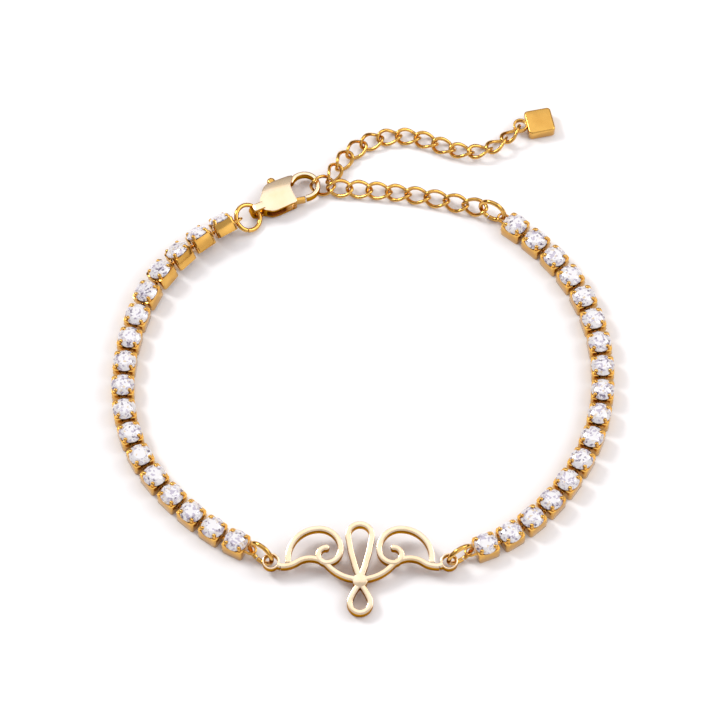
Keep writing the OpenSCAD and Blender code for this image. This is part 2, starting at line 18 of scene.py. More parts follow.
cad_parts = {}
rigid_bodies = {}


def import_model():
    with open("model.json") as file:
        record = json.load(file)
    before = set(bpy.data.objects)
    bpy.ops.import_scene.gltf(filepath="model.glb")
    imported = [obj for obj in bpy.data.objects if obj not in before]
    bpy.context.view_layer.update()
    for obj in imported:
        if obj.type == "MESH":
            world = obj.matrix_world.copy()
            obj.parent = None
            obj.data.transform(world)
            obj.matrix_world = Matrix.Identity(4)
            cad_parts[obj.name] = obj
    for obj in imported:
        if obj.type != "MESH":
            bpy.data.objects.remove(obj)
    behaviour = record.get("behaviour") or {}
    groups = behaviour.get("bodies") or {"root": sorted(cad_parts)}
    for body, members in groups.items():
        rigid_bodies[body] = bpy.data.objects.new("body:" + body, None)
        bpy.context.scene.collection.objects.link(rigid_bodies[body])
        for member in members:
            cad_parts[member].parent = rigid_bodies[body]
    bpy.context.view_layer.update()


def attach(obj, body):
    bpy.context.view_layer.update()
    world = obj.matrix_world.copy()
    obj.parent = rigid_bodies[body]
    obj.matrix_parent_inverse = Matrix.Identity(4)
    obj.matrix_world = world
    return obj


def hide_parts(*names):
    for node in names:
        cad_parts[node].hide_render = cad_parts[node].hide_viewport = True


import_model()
LOG = logging.getLogger("bracelet")
MM = 0.001
UP = Vector((0.0, 0.0, 1.0))
ORIGIN = Vector((0.0, 0.0, 0.0))

Colour = tuple[float, float, float]
Pairs = Sequence[tuple[float, float]]
Link = tuple[Vector, Vector, float]
Stroke = tuple[tuple[float, float], float, Pairs]
Work = bpy.types.Object


class Side(Enum):
    """The two strands of stones, as seen with the scroll plate nearest."""

    LEFT = "left"
    RIGHT = "right"


class Metal(Enum):
    """The bracelet's gold and the plate's gold, passed to each piece but not read when it is dressed; the
    plate's paler top and deeper sides are painted highlight and painted shade on the one gold.
    """

    WARM = "gold"
    PALE = "plate"


class Part(Enum):
    """What is picked in edit mode."""

    POINT = "VERT"
    EDGE = "EDGE"
    FACE = "FACE"


# Small helpers on angles, tables and frames


def heading(degrees: float) -> Vector:
    """Return the level unit vector at an angle from +X, in degrees."""
    return Vector((math.cos(math.radians(degrees)), math.sin(math.radians(degrees)), 0.0))


def level_angle(along: Vector) -> float:
    """Return the angle of a vector from +X, seen from above, in degrees."""
    return math.degrees(math.atan2(along.y, along.x))


def frame_matrix(origin: Vector, x_axis: Vector, z_axis: Vector) -> Matrix:
    """Build the matrix of a frame from its origin and two square unit axes."""
    rows = Matrix((x_axis, z_axis.cross(x_axis), z_axis)).transposed().to_4x4()
    return Matrix.Translation(origin) @ rows


def turned(degrees: float, axis: str) -> Matrix:
    """Return the matrix of a turn about a main axis, in degrees."""
    return Matrix.Rotation(math.radians(degrees), 4, axis)


def shifted(x: float, y: float = 0.0, z: float = 0.0) -> Matrix:
    """Return the matrix of a shift."""
    return Matrix.Translation((x, y, z))


@dataclass(frozen=True)
class Table:
    """A value that changes evenly between stops along a share of a length."""

    stops: tuple[tuple[float, float], ...]

    def at(self, share: float) -> float:
        """Look the value up.

        Args:
            share: Place along the length, from 0 to 1.

        Returns:
            The value there, held level outside the stops.
        """
        if share <= self.stops[0][0]:
            return self.stops[0][1]
        for (low, first), (high, second) in zip(self.stops, self.stops[1:]):
            if share <= high:
                return first + (second - first) * (share - low) / (high - low)
        return self.stops[-1][1]

    def spread(self, count: int) -> list[float]:
        """Return the values at the middles of a count of even steps."""
        return [self.at((i + 0.5) / count) for i in range(count)]


# Bench work: the moves that several pieces share


class Bench:
    """Modelling moves on Blender's operators, each on a cleared selection."""

    @staticmethod
    def start(primitive: Callable, **settings: object) -> Work:
        """Add a primitive on a cleared selection and return it."""
        bpy.ops.object.select_all(action="DESELECT")
        primitive(**settings)
        return bpy.context.object

    @staticmethod
    def pick(*pieces: Work) -> None:
        """Select only the given pieces and make the first one active."""
        bpy.ops.object.select_all(action="DESELECT")
        for piece in pieces:
            piece.select_set(True)
        bpy.context.view_layer.objects.active = pieces[0]

    @staticmethod
    def fix(piece: Work) -> Work:
        """Apply a piece's place, turn and scale to its mesh and return it."""
        Bench.pick(piece)
        bpy.ops.object.transform_apply(location=True, rotation=True, scale=True)
        return piece

    @staticmethod
    def lay(piece: Work, where: Matrix) -> Work:
        """Carry a piece, modelled in a frame's own axes, into that frame and return it."""
        piece.matrix_world = where @ piece.matrix_world
        return Bench.fix(piece)

    @staticmethod
    def copy(piece: Work, where: Matrix) -> Work:
        """Copy a piece with its own mesh and lay the copy in a frame."""
        Bench.pick(piece)
        bpy.ops.object.duplicate(linked=False)
        return Bench.lay(bpy.context.view_layer.objects.active, where)

    @staticmethod
    def join(pieces: Sequence[Work], name: str) -> Work:
        """Join pieces into one object.

        Args:
            pieces: The pieces, of which the first keeps its data.
            name: The new name.

        Returns:
            The joined object.
        """
        Bench.pick(*pieces)
        if len(pieces) > 1:
            bpy.ops.object.join()
        joined = bpy.context.view_layer.objects.active
        joined.name = name
        joined.data.name = name
        return joined

    @staticmethod
    def discard(*pieces: Work) -> None:
        """Delete pieces that only served as masters or cutters."""
        Bench.pick(*pieces)
        bpy.ops.object.delete()

    @staticmethod
    def modify(piece: Work, kind: str, **settings: object) -> None:
        """Add a modifier with settings and apply it."""
        Bench.pick(piece)
        step = piece.modifiers.new(kind.lower(), kind)
        for key, value in settings.items():
            setattr(step, key, value)
        bpy.ops.object.modifier_apply(modifier=step.name)

    @staticmethod
    def soften(piece: Work, width: float, segments: int = 2, angle: float = 35.0) -> Work:
        """Round every edge of a piece that turns by more than an angle.

        Args:
            piece: The piece.
            width: Width of the rounding in millimetres.
            segments: Faces across the rounding.
            angle: Least turn in degrees of an edge that is rounded.

        Returns:
            The piece.
        """
        limit = math.radians(angle)
        Bench.modify(piece, "BEVEL", width=width, segments=segments, limit_method="ANGLE", angle_limit=limit)
        return piece

    @staticmethod
    def cut(piece: Work, *cutters: Work) -> None:
        """Cut pieces out of a piece and delete them."""
        for cutter in cutters:
            Bench.modify(piece, "BOOLEAN", object=cutter, operation="DIFFERENCE", solver="EXACT")
        Bench.discard(*cutters)

    @staticmethod
    def smooth(piece: Work, angle: float = 35.0) -> None:
        """Shade a piece smooth except across edges that turn by more than an angle."""
        Bench.pick(piece)
        bpy.ops.object.shade_smooth_by_angle(angle=math.radians(angle))

    @staticmethod
    @contextmanager
    def edit(piece: Work) -> Iterator[None]:
        """Open a piece in edit mode with all of it selected, and leave that mode at the end."""
        Bench.pick(piece)
        bpy.ops.object.mode_set(mode="EDIT")
        bpy.ops.mesh.select_mode(type=Part.POINT.value)
        bpy.ops.mesh.select_all(action="SELECT")
        yield
        bpy.ops.object.mode_set(mode="OBJECT")

    @staticmethod
    @contextmanager
    def choose(piece: Work, part: Part, wanted: Callable[..., bool]) -> Iterator[None]:
        """Open a piece in edit mode with some of it selected, and leave that mode at the end.

        Args:
            piece: The piece.
            part: Whether points, edges or faces are chosen.
            wanted: Says from a point, edge or face of the mesh whether it is chosen.
        """
        Bench.pick(piece)
        bpy.ops.object.mode_set(mode="EDIT")
        bpy.ops.mesh.select_mode(type=part.value)
        bpy.ops.mesh.select_all(action="DESELECT")
        bpy.ops.object.mode_set(mode="OBJECT")
        mesh = piece.data
        for row in {Part.POINT: mesh.vertices, Part.EDGE: mesh.edges, Part.FACE: mesh.polygons}[part]:
            row.select = wanted(row)
        bpy.ops.object.mode_set(mode="EDIT")
        yield
        bpy.ops.object.mode_set(mode="OBJECT")

    @staticmethod
    def face_out(piece: Work) -> None:
        """Point all normals of a piece outward."""
        with Bench.edit(piece):
            bpy.ops.mesh.normals_make_consistent(inside=False)

    @staticmethod
    def weld(piece: Work, distance: float = 0.0005) -> None:
        """Merge the points of a piece that lie together."""
        with Bench.edit(piece):
            bpy.ops.mesh.remove_doubles(threshold=distance)

    @staticmethod
    def push_out(way: tuple[float, float, float]) -> None:
        """Extrude what is selected in edit mode."""
        bpy.ops.mesh.extrude_region_move(TRANSFORM_OT_translate={"value": way})

    @staticmethod
    def round_edges(piece: Work, axis: int, width: float, steps: int) -> Work:
        """Round the edges of a box that run along an axis.

        Args:
            piece: The box.
            axis: Number of the axis, 0 for X and 2 for Z.
            width: Width of the rounding.
            steps: Faces across it.

        Returns:
            The box.
        """

        def runs_along(edge: bpy.types.MeshEdge) -> bool:
            """Say whether an edge runs along the axis."""
            low, high = (piece.data.vertices[index].co for index in edge.vertices)
            return abs(high[axis] - low[axis]) > (high - low).length / 2

        with Bench.choose(piece, Part.EDGE, runs_along):
            bpy.ops.mesh.bevel(offset=width, segments=steps, affect="EDGES")
        return piece

    @staticmethod
    def box(size: tuple[float, float, float], middle: tuple[float, float, float] = (0, 0, 0)) -> Work:
        """Make a plain box about a point."""
        box = Bench.start(bpy.ops.mesh.primitive_cube_add, size=1, location=middle)
        box.scale = size
        return Bench.fix(box)

    @staticmethod
    def block(width: float, length: float, height: float, corner: float, steps: int) -> Work:
        """Make a block on the table, about the origin, with rounded upright corners."""
        return Bench.round_edges(Bench.box((width, length, height), (0, 0, height / 2)), 2, corner, steps)

    @staticmethod
    def rod(start: Vector, end: Vector, width: float, sides: int = 12) -> Work:
        """Make a round rod between two points.

        Args:
            start: One end.
            end: The other end.
            width: Diameter of the rod.
            sides: Faces around it.

        Returns:
            The rod.
        """
        along = end - start
        cylinder = bpy.ops.mesh.primitive_cylinder_add
        rod = Bench.start(cylinder, vertices=sides, radius=width / 2, depth=along.length)
        turn = UP.rotation_difference(along.normalized()).to_matrix().to_4x4()
        return Bench.lay(rod, Matrix.Translation((start + end) / 2) @ turn)

    @staticmethod
    def disc(middle: Vector, radius: float, height: float, edge: float, steps: int) -> Work:
        """Make a flat round disc with rounded rims.

        Args:
            middle: Its middle.
            radius: Its radius.
            height: Its thickness.
            edge: Width of the rounding of its rims.
            steps: Faces across that rounding.

        Returns:
            The disc.
        """
        cylinder = bpy.ops.mesh.primitive_cylinder_add
        disc = Bench.fix(Bench.start(cylinder, vertices=32, radius=radius, depth=height, location=middle))
        return Bench.soften(disc, edge, steps, 60)

    @staticmethod
    def sweep(profile: Work, arcs: Sequence[tuple[Vector, float]], step: float) -> Work:
        """Spin a flat profile along arcs that run on from each other.

        Args:
            profile: A flat face, standing across the start of the first arc.
            arcs: The centre and the left-hand sweep in degrees of each arc.
            step: Largest turn of one step in degrees.

        Returns:
            The profile's object, now a closed bar.
        """
        with Bench.edit(profile):
            for centre, turn in arcs:
                steps = max(2, round(abs(turn) / step))
                bpy.ops.mesh.spin(steps=steps, angle=-math.radians(turn), center=centre, axis=(0, 0, 1))
        Bench.weld(profile)
        Bench.face_out(profile)
        return profile

    @staticmethod
    def hoop(
        profile: Work, radius: float, step: float, turn: float = 360.0,
        centre: Vector = ORIGIN, height: float = 0.0,
    ) -> Work:
        """Bend a profile round an upright line.

        Args:
            profile: The profile, standing in the XZ plane at the origin.
            radius: Distance of its middle from the line.
            step: Largest turn of one step in degrees.
            turn: How far round it goes in degrees.
            centre: Where the line stands.
            height: Height of the profile's middle.

        Returns:
            The hoop.
        """
        place = Matrix.Translation(centre + Vector((radius, 0, height)))
        return Bench.sweep(Bench.lay(profile, place), [(centre, turn)], step)

    @staticmethod
    def band_profile(width: float, height: float, edge: float, steps: int = 2) -> Work:
        """Make the flat profile of a band with rounded edges, standing in the XZ plane at the origin."""
        upright = (math.pi / 2, 0, 0)
        profile = Bench.fix(Bench.start(bpy.ops.mesh.primitive_plane_add, size=1, rotation=upright))
        profile.scale = (width, 1, height)
        Bench.fix(profile)
        with Bench.edit(profile):
            bpy.ops.mesh.bevel(offset=edge, segments=steps, affect="VERTICES")
        return profile

    @staticmethod
    def wire_profile(width: float, sides: int = 12) -> Work:
        """Make the round profile of a wire, standing in the XZ plane at the origin."""
        circle = bpy.ops.mesh.primitive_circle_add
        upright = (math.pi / 2, 0, 0)
        return Bench.fix(
            Bench.start(circle, vertices=sides, radius=width / 2, fill_type="NGON", rotation=upright)
        )


# Finishes


class Nodes:
    """The node tree of a material or of the world."""

    def __init__(self, owner: bpy.types.Material | bpy.types.World) -> None:
        """Open the tree of its owner."""
        owner.use_nodes = True
        self.tree = owner.node_tree

    def feed(self, node: bpy.types.Node, **inputs: object) -> bpy.types.Node:
        """Set or link a node's inputs.

        Args:
            node: The node.
            inputs: Its inputs by name, with _ for a space: a value, or another node's output.

        Returns:
            The node.
        """
        for name, value in inputs.items():
            socket = node.inputs[name.replace("_", " ")]
            if isinstance(value, bpy.types.NodeSocket):
                self.tree.links.new(value, socket)
            else:
                socket.default_value = value
        return node

    def add(self, kind: str, **inputs: object) -> bpy.types.NodeOutputs:
        """Add a node of a kind, feed it and return its outputs."""
        return self.feed(self.tree.nodes.new(f"ShaderNode{kind}"), **inputs).outputs

    def ramp(
        self, source: bpy.types.NodeSocket, stops: Sequence[tuple[float, Colour]], blend: str = "LINEAR"
    ) -> bpy.types.NodeSocket:
        """Add a colour ramp.

        Args:
            source: The value that it colours.
            stops: Its places and colours, in order.
            blend: How it runs from stop to stop.

        Returns:
            Its colour.
        """
        node = self.feed(self.tree.nodes.new("ShaderNodeValToRGB"), Fac=source)
        node.color_ramp.interpolation = blend
        for element, (place, colour) in zip(node.color_ramp.elements, stops):
            element.position = place
            element.color = (*colour, 1.0)
        for place, colour in stops[2:]:
            node.color_ramp.elements.new(place).color = (*colour, 1.0)
        return node.outputs["Color"]


@dataclass(frozen=True)
class Finish:
    """What every finish shares: its name and how its material is made."""

    name: str

    def make(self) -> bpy.types.Material:
        """Build the node material and return it."""
        material = bpy.data.materials.new(self.name)
        nodes = Nodes(material)
        nodes.feed(nodes.tree.nodes["Principled BSDF"], **self.inputs(nodes))
        return material

    def inputs(self, nodes: Nodes) -> dict[str, object]:
        """Return the inputs of the surface, with the nodes that feed them added."""
        raise NotImplementedError


@dataclass(frozen=True)
class GoldFinish(Finish):
    """Polished gold plate under a clear sealing coat, with faint colour drift and fine polishing marks."""

    colour: Colour
    deep: Colour
    roughness: float
    rim: Colour = (1.0, 1.0, 1.0)
    coat: float = 0.25
    coat_index: float = 1.6
    coat_roughness: float = 0.08
    smoothest: float = 0.75
    roughest: float = 1.35
    drift_scale: float = 420.0
    mark_scale: float = 5200.0
    mark_depth: float = 0.01
    mark_reach: float = 0.00002

    def inputs(self, nodes: Nodes) -> dict[str, object]:
        """Add the nodes of the surface and return its inputs."""
        place = nodes.add("TexCoord")["Object"]
        drift = nodes.add("TexNoise", Vector=place, Scale=self.drift_scale, Detail=3.0)["Fac"]
        low, high = self.roughness * self.smoothest, self.roughness * self.roughest
        marks = nodes.add("TexNoise", Vector=place, Scale=self.mark_scale, Detail=2.0)["Fac"]
        return dict(
            Metallic=1.0,
            Specular_Tint=(*self.rim, 1.0),
            Coat_Weight=self.coat,
            Coat_IOR=self.coat_index,
            Coat_Roughness=self.coat_roughness,
            Base_Color=nodes.ramp(drift, ((0.32, self.deep), (0.62, self.colour))),
            Roughness=nodes.add("MapRange", Value=drift, To_Min=low, To_Max=high)["Result"],
            Normal=nodes.add("Bump", Height=marks, Strength=self.mark_depth, Distance=self.mark_reach)["Normal"],
        )


@dataclass(frozen=True)
class StoneFinish(Finish):
    """Clear cut stone whose colour is painted reflection: bright cells with a few cool, dark and warm ones stand
    for what its lower facets throw back.
    """

    name: str = "clear_stone"
    bright: Colour = (1.0, 0.99, 1.0)
    cool: Colour = (0.60, 0.54, 0.68)
    dark: Colour = (0.16, 0.13, 0.20)
    warm: Colour = (0.86, 0.68, 0.44)
    roughness: float = 0.02
    index: float = 2.1
    clearness: float = 0.22
    patch_scale: float = 3700.0
    facet_share: float = 0.30

    def inputs(self, nodes: Nodes) -> dict[str, object]:
        """Add the nodes of the surface and return its inputs."""
        place = nodes.add("TexCoord")
        reflection_cells = nodes.add("TexVoronoi", Vector=place["Object"], Scale=self.patch_scale)["Color"]
        cell_reflection = nodes.add("SeparateColor", Color=reflection_cells)["Red"]
        facet_reflection = nodes.add("TexWhiteNoise", Vector=place["Normal"])["Value"]
        blend = nodes.add("Mix", Factor=self.facet_share, A=cell_reflection, B=facet_reflection)["Result"]
        # Painted reflections: the dark, cool, bright and warm stops colour each cell and facet as the light that
        # the facets throw back.
        stops = (
            (0.0, self.dark), (0.17, self.cool), (0.36, self.bright), (0.82, self.warm), (0.86, self.bright),
        )
        return dict(
            Base_Color=nodes.ramp(blend, stops, "CONSTANT"),
            Roughness=self.roughness,
            IOR=self.index,
            Transmission_Weight=self.clearness,
        )


@dataclass(frozen=True)
class TableFinish(Finish):
    """The pale matt table, with the slightest unevenness."""

    name: str = "pale_table"
    dull: Colour = (0.93, 0.925, 0.93)
    bright: Colour = (0.96, 0.955, 0.96)
    roughness: float = 0.7
    shine: float = 0.25
    drift_scale: float = 14.0

    def inputs(self, nodes: Nodes) -> dict[str, object]:
        """Add the nodes of the surface and return its inputs."""
        place = nodes.add("TexCoord")["Object"]
        drift = nodes.add("TexNoise", Vector=place, Scale=self.drift_scale)["Fac"]
        return dict(
            Base_Color=nodes.ramp(drift, ((0.0, self.dull), (1.0, self.bright))),
            Roughness=self.roughness,
            Specular_IOR_Level=self.shine,
        )


@dataclass
class Finishes:
    """The finishes of the bracelet, each made once."""

    warm: GoldFinish = GoldFinish("warm_gold", (0.74, 0.42, 0.09), (0.65, 0.345, 0.065), 0.14)
    # A lit copy of the gold, paler and creamier under a full coat: painted highlight for the faces that look up.
    pale: GoldFinish = GoldFinish("pale_gold", (0.98, 0.78, 0.54), (0.95, 0.72, 0.44), 0.20, coat=1.0)
    # A shaded copy of the gold, deeper and darker with no coat: painted shade for the faces that turn away from
    # up.
    edge: GoldFinish = GoldFinish(
        "painted_shade_gold", (0.50, 0.235, 0.02), (0.42, 0.18, 0.012), 0.20, rim=(0.9, 0.6, 0.2), coat=0.0
    )
    clear: StoneFinish = StoneFinish()
    made: dict[str, bpy.types.Material] = field(default_factory=dict)

    def get(self, finish: Finish) -> bpy.types.Material:
        """Return a finish's material, made the first time that it is asked for."""
        if finish.name not in self.made:
            self.made[finish.name] = finish.make()
        return self.made[finish.name]

    def dress(self, piece: Work, *finishes: Finish) -> None:
        """Give a piece these finishes as its only materials."""
        piece.data.materials.clear()
        for finish in finishes:
            piece.data.materials.append(self.get(finish))


# The bracelet's line


@dataclass(frozen=True)
class Sizes:
    """Sizes in millimetres that several pieces share."""

    stone_d: float = 3.0
    stone_count: int = 17
    cup_w: float = 2.9
    cup_wall: float = 0.3
    cup_h: float = 1.85
    cup_gap: float = 0.6
    axis_h: float = 0.8
    roll_lift: float = 0.13
    bail_h: float = 1.4
    bail_wire: float = 0.34
    bail_reach: float = 0.3
    ring_d: float = 4.0
    ring_wire: float = 0.6
    ring_span: float = 3.2
    ring_play: float = 0.14
    plate_w: float = 22.3
    plate_t: float = 1.2
    stroke_w: float = 0.7
    plate_lift: float = 1.0
    plate_drop: float = 0.3
    dot_over: float = 0.08
    case_t: float = 2.2
    case_w: float = 4.15
    clasp_reach: float = 7.1
    hook_d: float = 4.2
    hook_w: float = 0.6
    hook_side: float = 0.18
    link_pitch: float = 2.5
    link_w: float = 2.5
    first_link_w: float = 2.85
    first_reach: float = 0.64
    first_rise: float = 0.05
    link_wire: float = 0.42
    link_play: float = 0.19
    link_twist: float = 45.0
    link_rise: float = 0.03
    hold_play: float = 0.06
    tail_links: int = 12
    tag_eye_r: float = 0.68
    tag_play: float = 0.12

    @property
    def pitch(self) -> float:
        """Distance from one cup to the next."""
        return self.cup_w + self.cup_gap

    @property
    def bail_seat(self) -> float:
        """Distance from an end cup's wall to the middle of the jump ring's wire."""
        return self.ring_wire / 2 + self.bail_reach

    @property
    def ring_r(self) -> float:
        """Radius of a jump ring's centre line."""
        return (self.ring_d - self.ring_wire) / 2


@dataclass(frozen=True)
class RingTurn:
    """Which way a jump ring leads on, its lean and where its cut is, in degrees."""

    way: float
    lean: float
    cut_at: float


@dataclass(frozen=True)
class StrandRoute:
    """How a strand leaves the plate, which way its cups run and how far they roll, in degrees."""

    ring: RingTurn
    way: Table
    roll: Table


@dataclass(frozen=True)
class Route:
    """The tables that bend the bracelet the way that it lies."""

    plate_at: Vector = Vector((-0.39, -29.93, 0.0))
    left: StrandRoute = StrandRoute(
        RingTurn(144, 97, 290),
        Table(((0, 156), (0.12, 140), (0.24, 131), (0.36, 112), (0.48, 93), (0.6, 80), (0.7, 70),
               (0.8, 52), (0.9, 39), (1, 28))),
        Table(((0, 0), (0.68, 0), (1, 58))),
    )
    right: StrandRoute = StrandRoute(
        RingTurn(31, 90, 290),
        Table(((0, 17), (0.12, 38), (0.24, 53), (0.36, 66), (0.48, 83), (0.6, 96), (0.72, 111),
               (0.84, 128), (0.92, 137), (1, 144))),
        Table(((0, 0), (1, 0))),
    )
    clasp_ring: RingTurn = RingTurn(35, 208, 120)
    chain_ring: RingTurn = RingTurn(153, 95, 285)
    full_lift_roll: float = 10.0
    clasp_ring_span: float = 3.35
    clasp_way: float = 25.0
    first_way: float = 4.0
    first_roll: float = 35.0
    chain_hold_h: float = 1.5
    main_seat: tuple[float, float, float] = (0.39, -0.29, 0.03)
    main_bow: float = 1.0
    main_roll: Table = Table(((0.06, 40), (0.4, 0), (0.6, 8), (1, 45)))
    tail_seat: tuple[float, float, float] = (0.39, 0.31, 0.14)
    tail_roll: Table = Table(((0.04, 55), (0.12, 43), (0.37, 0), (0.6, 0), (1, -45)))
    tail_way: Table = Table(
        ((0, 62), (0.12, 56), (0.3, 24), (0.42, 0), (0.55, -23), (0.66, -23), (0.77, 4),
         (0.88, 36), (1, 50))
    )
    tag_way: float = 12.0


@dataclass(frozen=True)
class JumpRingPose:
    """The two places that a jump ring's wire passes, and how the ring is turned about them."""

    start: Vector
    end: Vector
    turn: RingTurn

    def frame(self, radius: float) -> Matrix:
        """Return the ring's frame, with its middle at the origin and the two places along X."""
        along = (self.end - self.start).normalized()
        level = UP.cross(along).normalized()
        lean = math.radians(self.turn.lean)
        across = level * math.cos(lean) + along.cross(level) * math.sin(lean)
        half = (self.end - self.start).length / 2
        middle = (self.start + self.end) / 2 + across * math.sqrt(max(0.0, radius**2 - half**2))
        return frame_matrix(middle, along, along.cross(across))


@dataclass
class Layout:
    """Works out where each piece lies, in millimetres."""

    sizes: Sizes = field(default_factory=Sizes)
    route: Route = field(default_factory=Route)

    def __post_init__(self) -> None:
        """Lay the pieces out from the plate round both sides to the tag."""
        sizes, route = self.sizes, self.route
        reach = sizes.plate_drop * sizes.plate_w + (sizes.stroke_w + sizes.dot_over) / 2
        tilt = math.degrees(math.asin(sizes.plate_lift / reach))
        self.plate = Matrix.Translation(route.plate_at + UP * sizes.plate_lift) @ turned(tilt, "X")
        self.strands = {Side.LEFT: route.left, Side.RIGHT: route.right}
        self.joints: dict[Side, list[Vector]] = {}
        self.rings: dict[str, JumpRingPose] = {}
        for (side, strand), sign in zip(self.strands.items(), (-1, 1)):
            eye = self.plate @ Vector((sign * sizes.plate_w / 2, 0, sizes.plate_t / 2))
            bail = self._far(eye, strand.ring.way, sizes.ring_span, sizes.bail_h)
            self.joints[side] = self._strand(bail, strand)
            self.rings[f"ring_plate_{side.value}"] = JumpRingPose(eye, bail, strand.ring)
        last = sizes.stone_count - 1
        seat = sizes.cup_w / 2 + sizes.bail_seat
        bail = self.on_cup(Side.LEFT, last, seat)
        eye = self._far(bail, route.clasp_ring.way, route.clasp_ring_span, sizes.case_t / 2)
        self.clasp = shifted(eye.x, eye.y) @ turned(route.clasp_way, "Z")
        self.rings["ring_clasp"] = JumpRingPose(bail, eye, route.clasp_ring)
        bail = self.on_cup(Side.RIGHT, last, seat) + UP * (sizes.bail_h - sizes.axis_h)
        hold = self._far(bail, route.chain_ring.way, sizes.ring_span, route.chain_hold_h)
        self.rings["ring_chain"] = JumpRingPose(bail, hold, route.chain_ring)
        self._first_link()
        self._main_run(hold)
        self._tail_run()

    @staticmethod
    def _far(start: Vector, way: float, span: float, height: float) -> Vector:
        """Return the point at a height that lies span from start, in direction way."""
        fall = height - start.z
        return Vector((start.x, start.y, height)) + heading(way) * math.sqrt(span**2 - fall**2)

    def roll_height(self, roll: float) -> float:
        """Return the height of a cup's hole line when the cup lies rolled on the table."""
        turn = math.radians(roll)
        lift = self.sizes.roll_lift * min(1.0, roll / self.route.full_lift_roll)
        return self.sizes.axis_h * math.cos(turn) + self.sizes.cup_w / 2 * math.sin(turn) + lift

    def _strand(self, bail: Vector, strand: StrandRoute) -> list[Vector]:
        """Lay a strand's joints from its first bail.

        Args:
            bail: Where the first jump ring's wire passes.
            strand: How the strand runs.

        Returns:
            One point before the first cup and one after each cup.
        """
        sizes = self.sizes
        count = sizes.stone_count
        ways, rolls = strand.way.spread(count), strand.roll.spread(count)
        here = Vector((bail.x, bail.y, 0)) + heading(ways[0]) * (sizes.bail_seat - sizes.cup_gap / 2)
        joints = []
        for i in range(count + 1):
            before, after = rolls[max(0, i - 1)], rolls[min(i, count - 1)]
            height = (self.roll_height(before) + self.roll_height(after)) / 2
            joints.append(Vector((here.x, here.y, height)))
            if i < count:
                here = here + heading(ways[i]) * sizes.pitch
        return joints

    def on_cup(self, side: Side, index: int, reach: float) -> Vector:
        """Return the point on a cup's hole line at a distance from the cup's middle."""
        start, end = self.joints[side][index : index + 2]
        return (start + end) / 2 + (end - start).normalized() * reach

    def cup(self, side: Side, index: int) -> Matrix:
        """Return the frame of a cup, with the middle of its base at the origin and X along the strand."""
        roll = self.strands[side].roll.spread(self.sizes.stone_count)[index]
        start, end = self.joints[side][index : index + 2]
        place = self.upright(self.on_cup(side, index, 0.0), (end - start).normalized())
        return place @ turned(-roll, "X") @ shifted(0, 0, -self.sizes.axis_h)

    @staticmethod
    def upright(origin: Vector, x_axis: Vector) -> Matrix:
        """Return the frame at origin whose X is x_axis and whose Z is as near up as it can be."""
        return frame_matrix(origin, x_axis, (UP - x_axis * x_axis.z).normalized())

    def link_height(self, roll: float) -> float:
        """Return the height of a link's axis when its lowest side rests on the table."""
        sizes = self.sizes
        half = (sizes.link_w - sizes.link_wire) / 2
        lowest = 0.0
        for step in range(0, 360, 10):
            turn = math.radians(step)
            twist = math.radians(roll - sizes.link_twist * math.cos(turn))
            lowest = max(lowest, half * abs(math.sin(turn) * math.sin(twist)))
        return sizes.link_wire / 2 + sizes.link_rise + lowest

    def _first_link(self) -> None:
        """Lay the link that hangs on the clasp's hook."""
        sizes, route = self.sizes, self.route
        hook = self.clasp @ Vector((sizes.clasp_reach, sizes.hook_side * sizes.case_w, sizes.case_t / 2))
        reach = (sizes.hook_d - sizes.hook_w) / 2 + sizes.first_reach
        self.first = hook + heading(route.first_way) * reach + UP * sizes.first_rise
        half = heading(route.first_way) * sizes.link_pitch / 2
        self.first_link = (self.first - half, self.first + half, route.first_roll)

    def _hang(self, seat: tuple[float, float, float], way: float) -> Vector:
        """Return where a run starts.

        Args:
            seat: Its wire's place in the first link, in shares of half the link's length and width,
                and how far it lies above the link's middle.
            way: Which way it leaves.

        Returns:
            The run's first joint.
        """
        sizes, lie = self.sizes, self.route.first_way
        long_half = (sizes.link_pitch + sizes.link_wire + sizes.link_play) / 2
        wide_half = (sizes.first_link_w - sizes.link_wire) / 2
        place = self.first + heading(lie) * seat[0] * long_half
        place = place + heading(lie + 90) * seat[1] * wide_half
        place = place + heading(way) * (sizes.link_wire + sizes.link_play) / 2
        return Vector((place.x, place.y, self.first.z + seat[2]))

    def _main_run(self, hold: Vector) -> None:
        """Lay the fastened run to where the chain ring's wire passes."""
        sizes, route = self.sizes, self.route
        toward = level_angle(hold - self.first)
        start = self._hang(route.main_seat, toward)
        over = sizes.ring_wire / 2 + sizes.ring_play + sizes.hold_play - sizes.link_play / 2
        end = hold + heading(toward) * over
        count = round((end - start).length / sizes.link_pitch)
        rolls = route.main_roll.spread(count)
        joints = [start]
        for i in range(1, count):
            point = start.lerp(end, i / count)
            point = point + heading(toward + 90) * route.main_bow * math.sin(math.pi * i / count)
            point.z = (self.link_height(rolls[i - 1]) + self.link_height(rolls[i])) / 2
            joints.append(point)
        joints.append(end)
        self.main_links = list(zip(joints, joints[1:], rolls))

    def _tail_run(self) -> None:
        """Lay the free run and the tag."""
        sizes, route = self.sizes, self.route
        count = sizes.tail_links
        ways, rolls = route.tail_way.spread(count), route.tail_roll.spread(count)
        here = self._hang(route.tail_seat, route.tail_way.at(0))
        joints = [here]
        for i in range(count):
            here = here + heading(ways[i]) * sizes.link_pitch
            height = self.link_height(sizes.link_twist)
            if i < count - 1:
                height = (self.link_height(rolls[i]) + self.link_height(rolls[i + 1])) / 2
            joints.append(Vector((here.x, here.y, height)))
        self.tail_links = list(zip(joints, joints[1:], rolls))
        eye = joints[-1] + heading(ways[-1]) * (sizes.tag_eye_r - sizes.link_play / 2 - sizes.tag_play)
        self.tag_eye_height = eye.z
        self.tag = shifted(eye.x, eye.y) @ turned(route.tag_way, "Z")


# The pieces


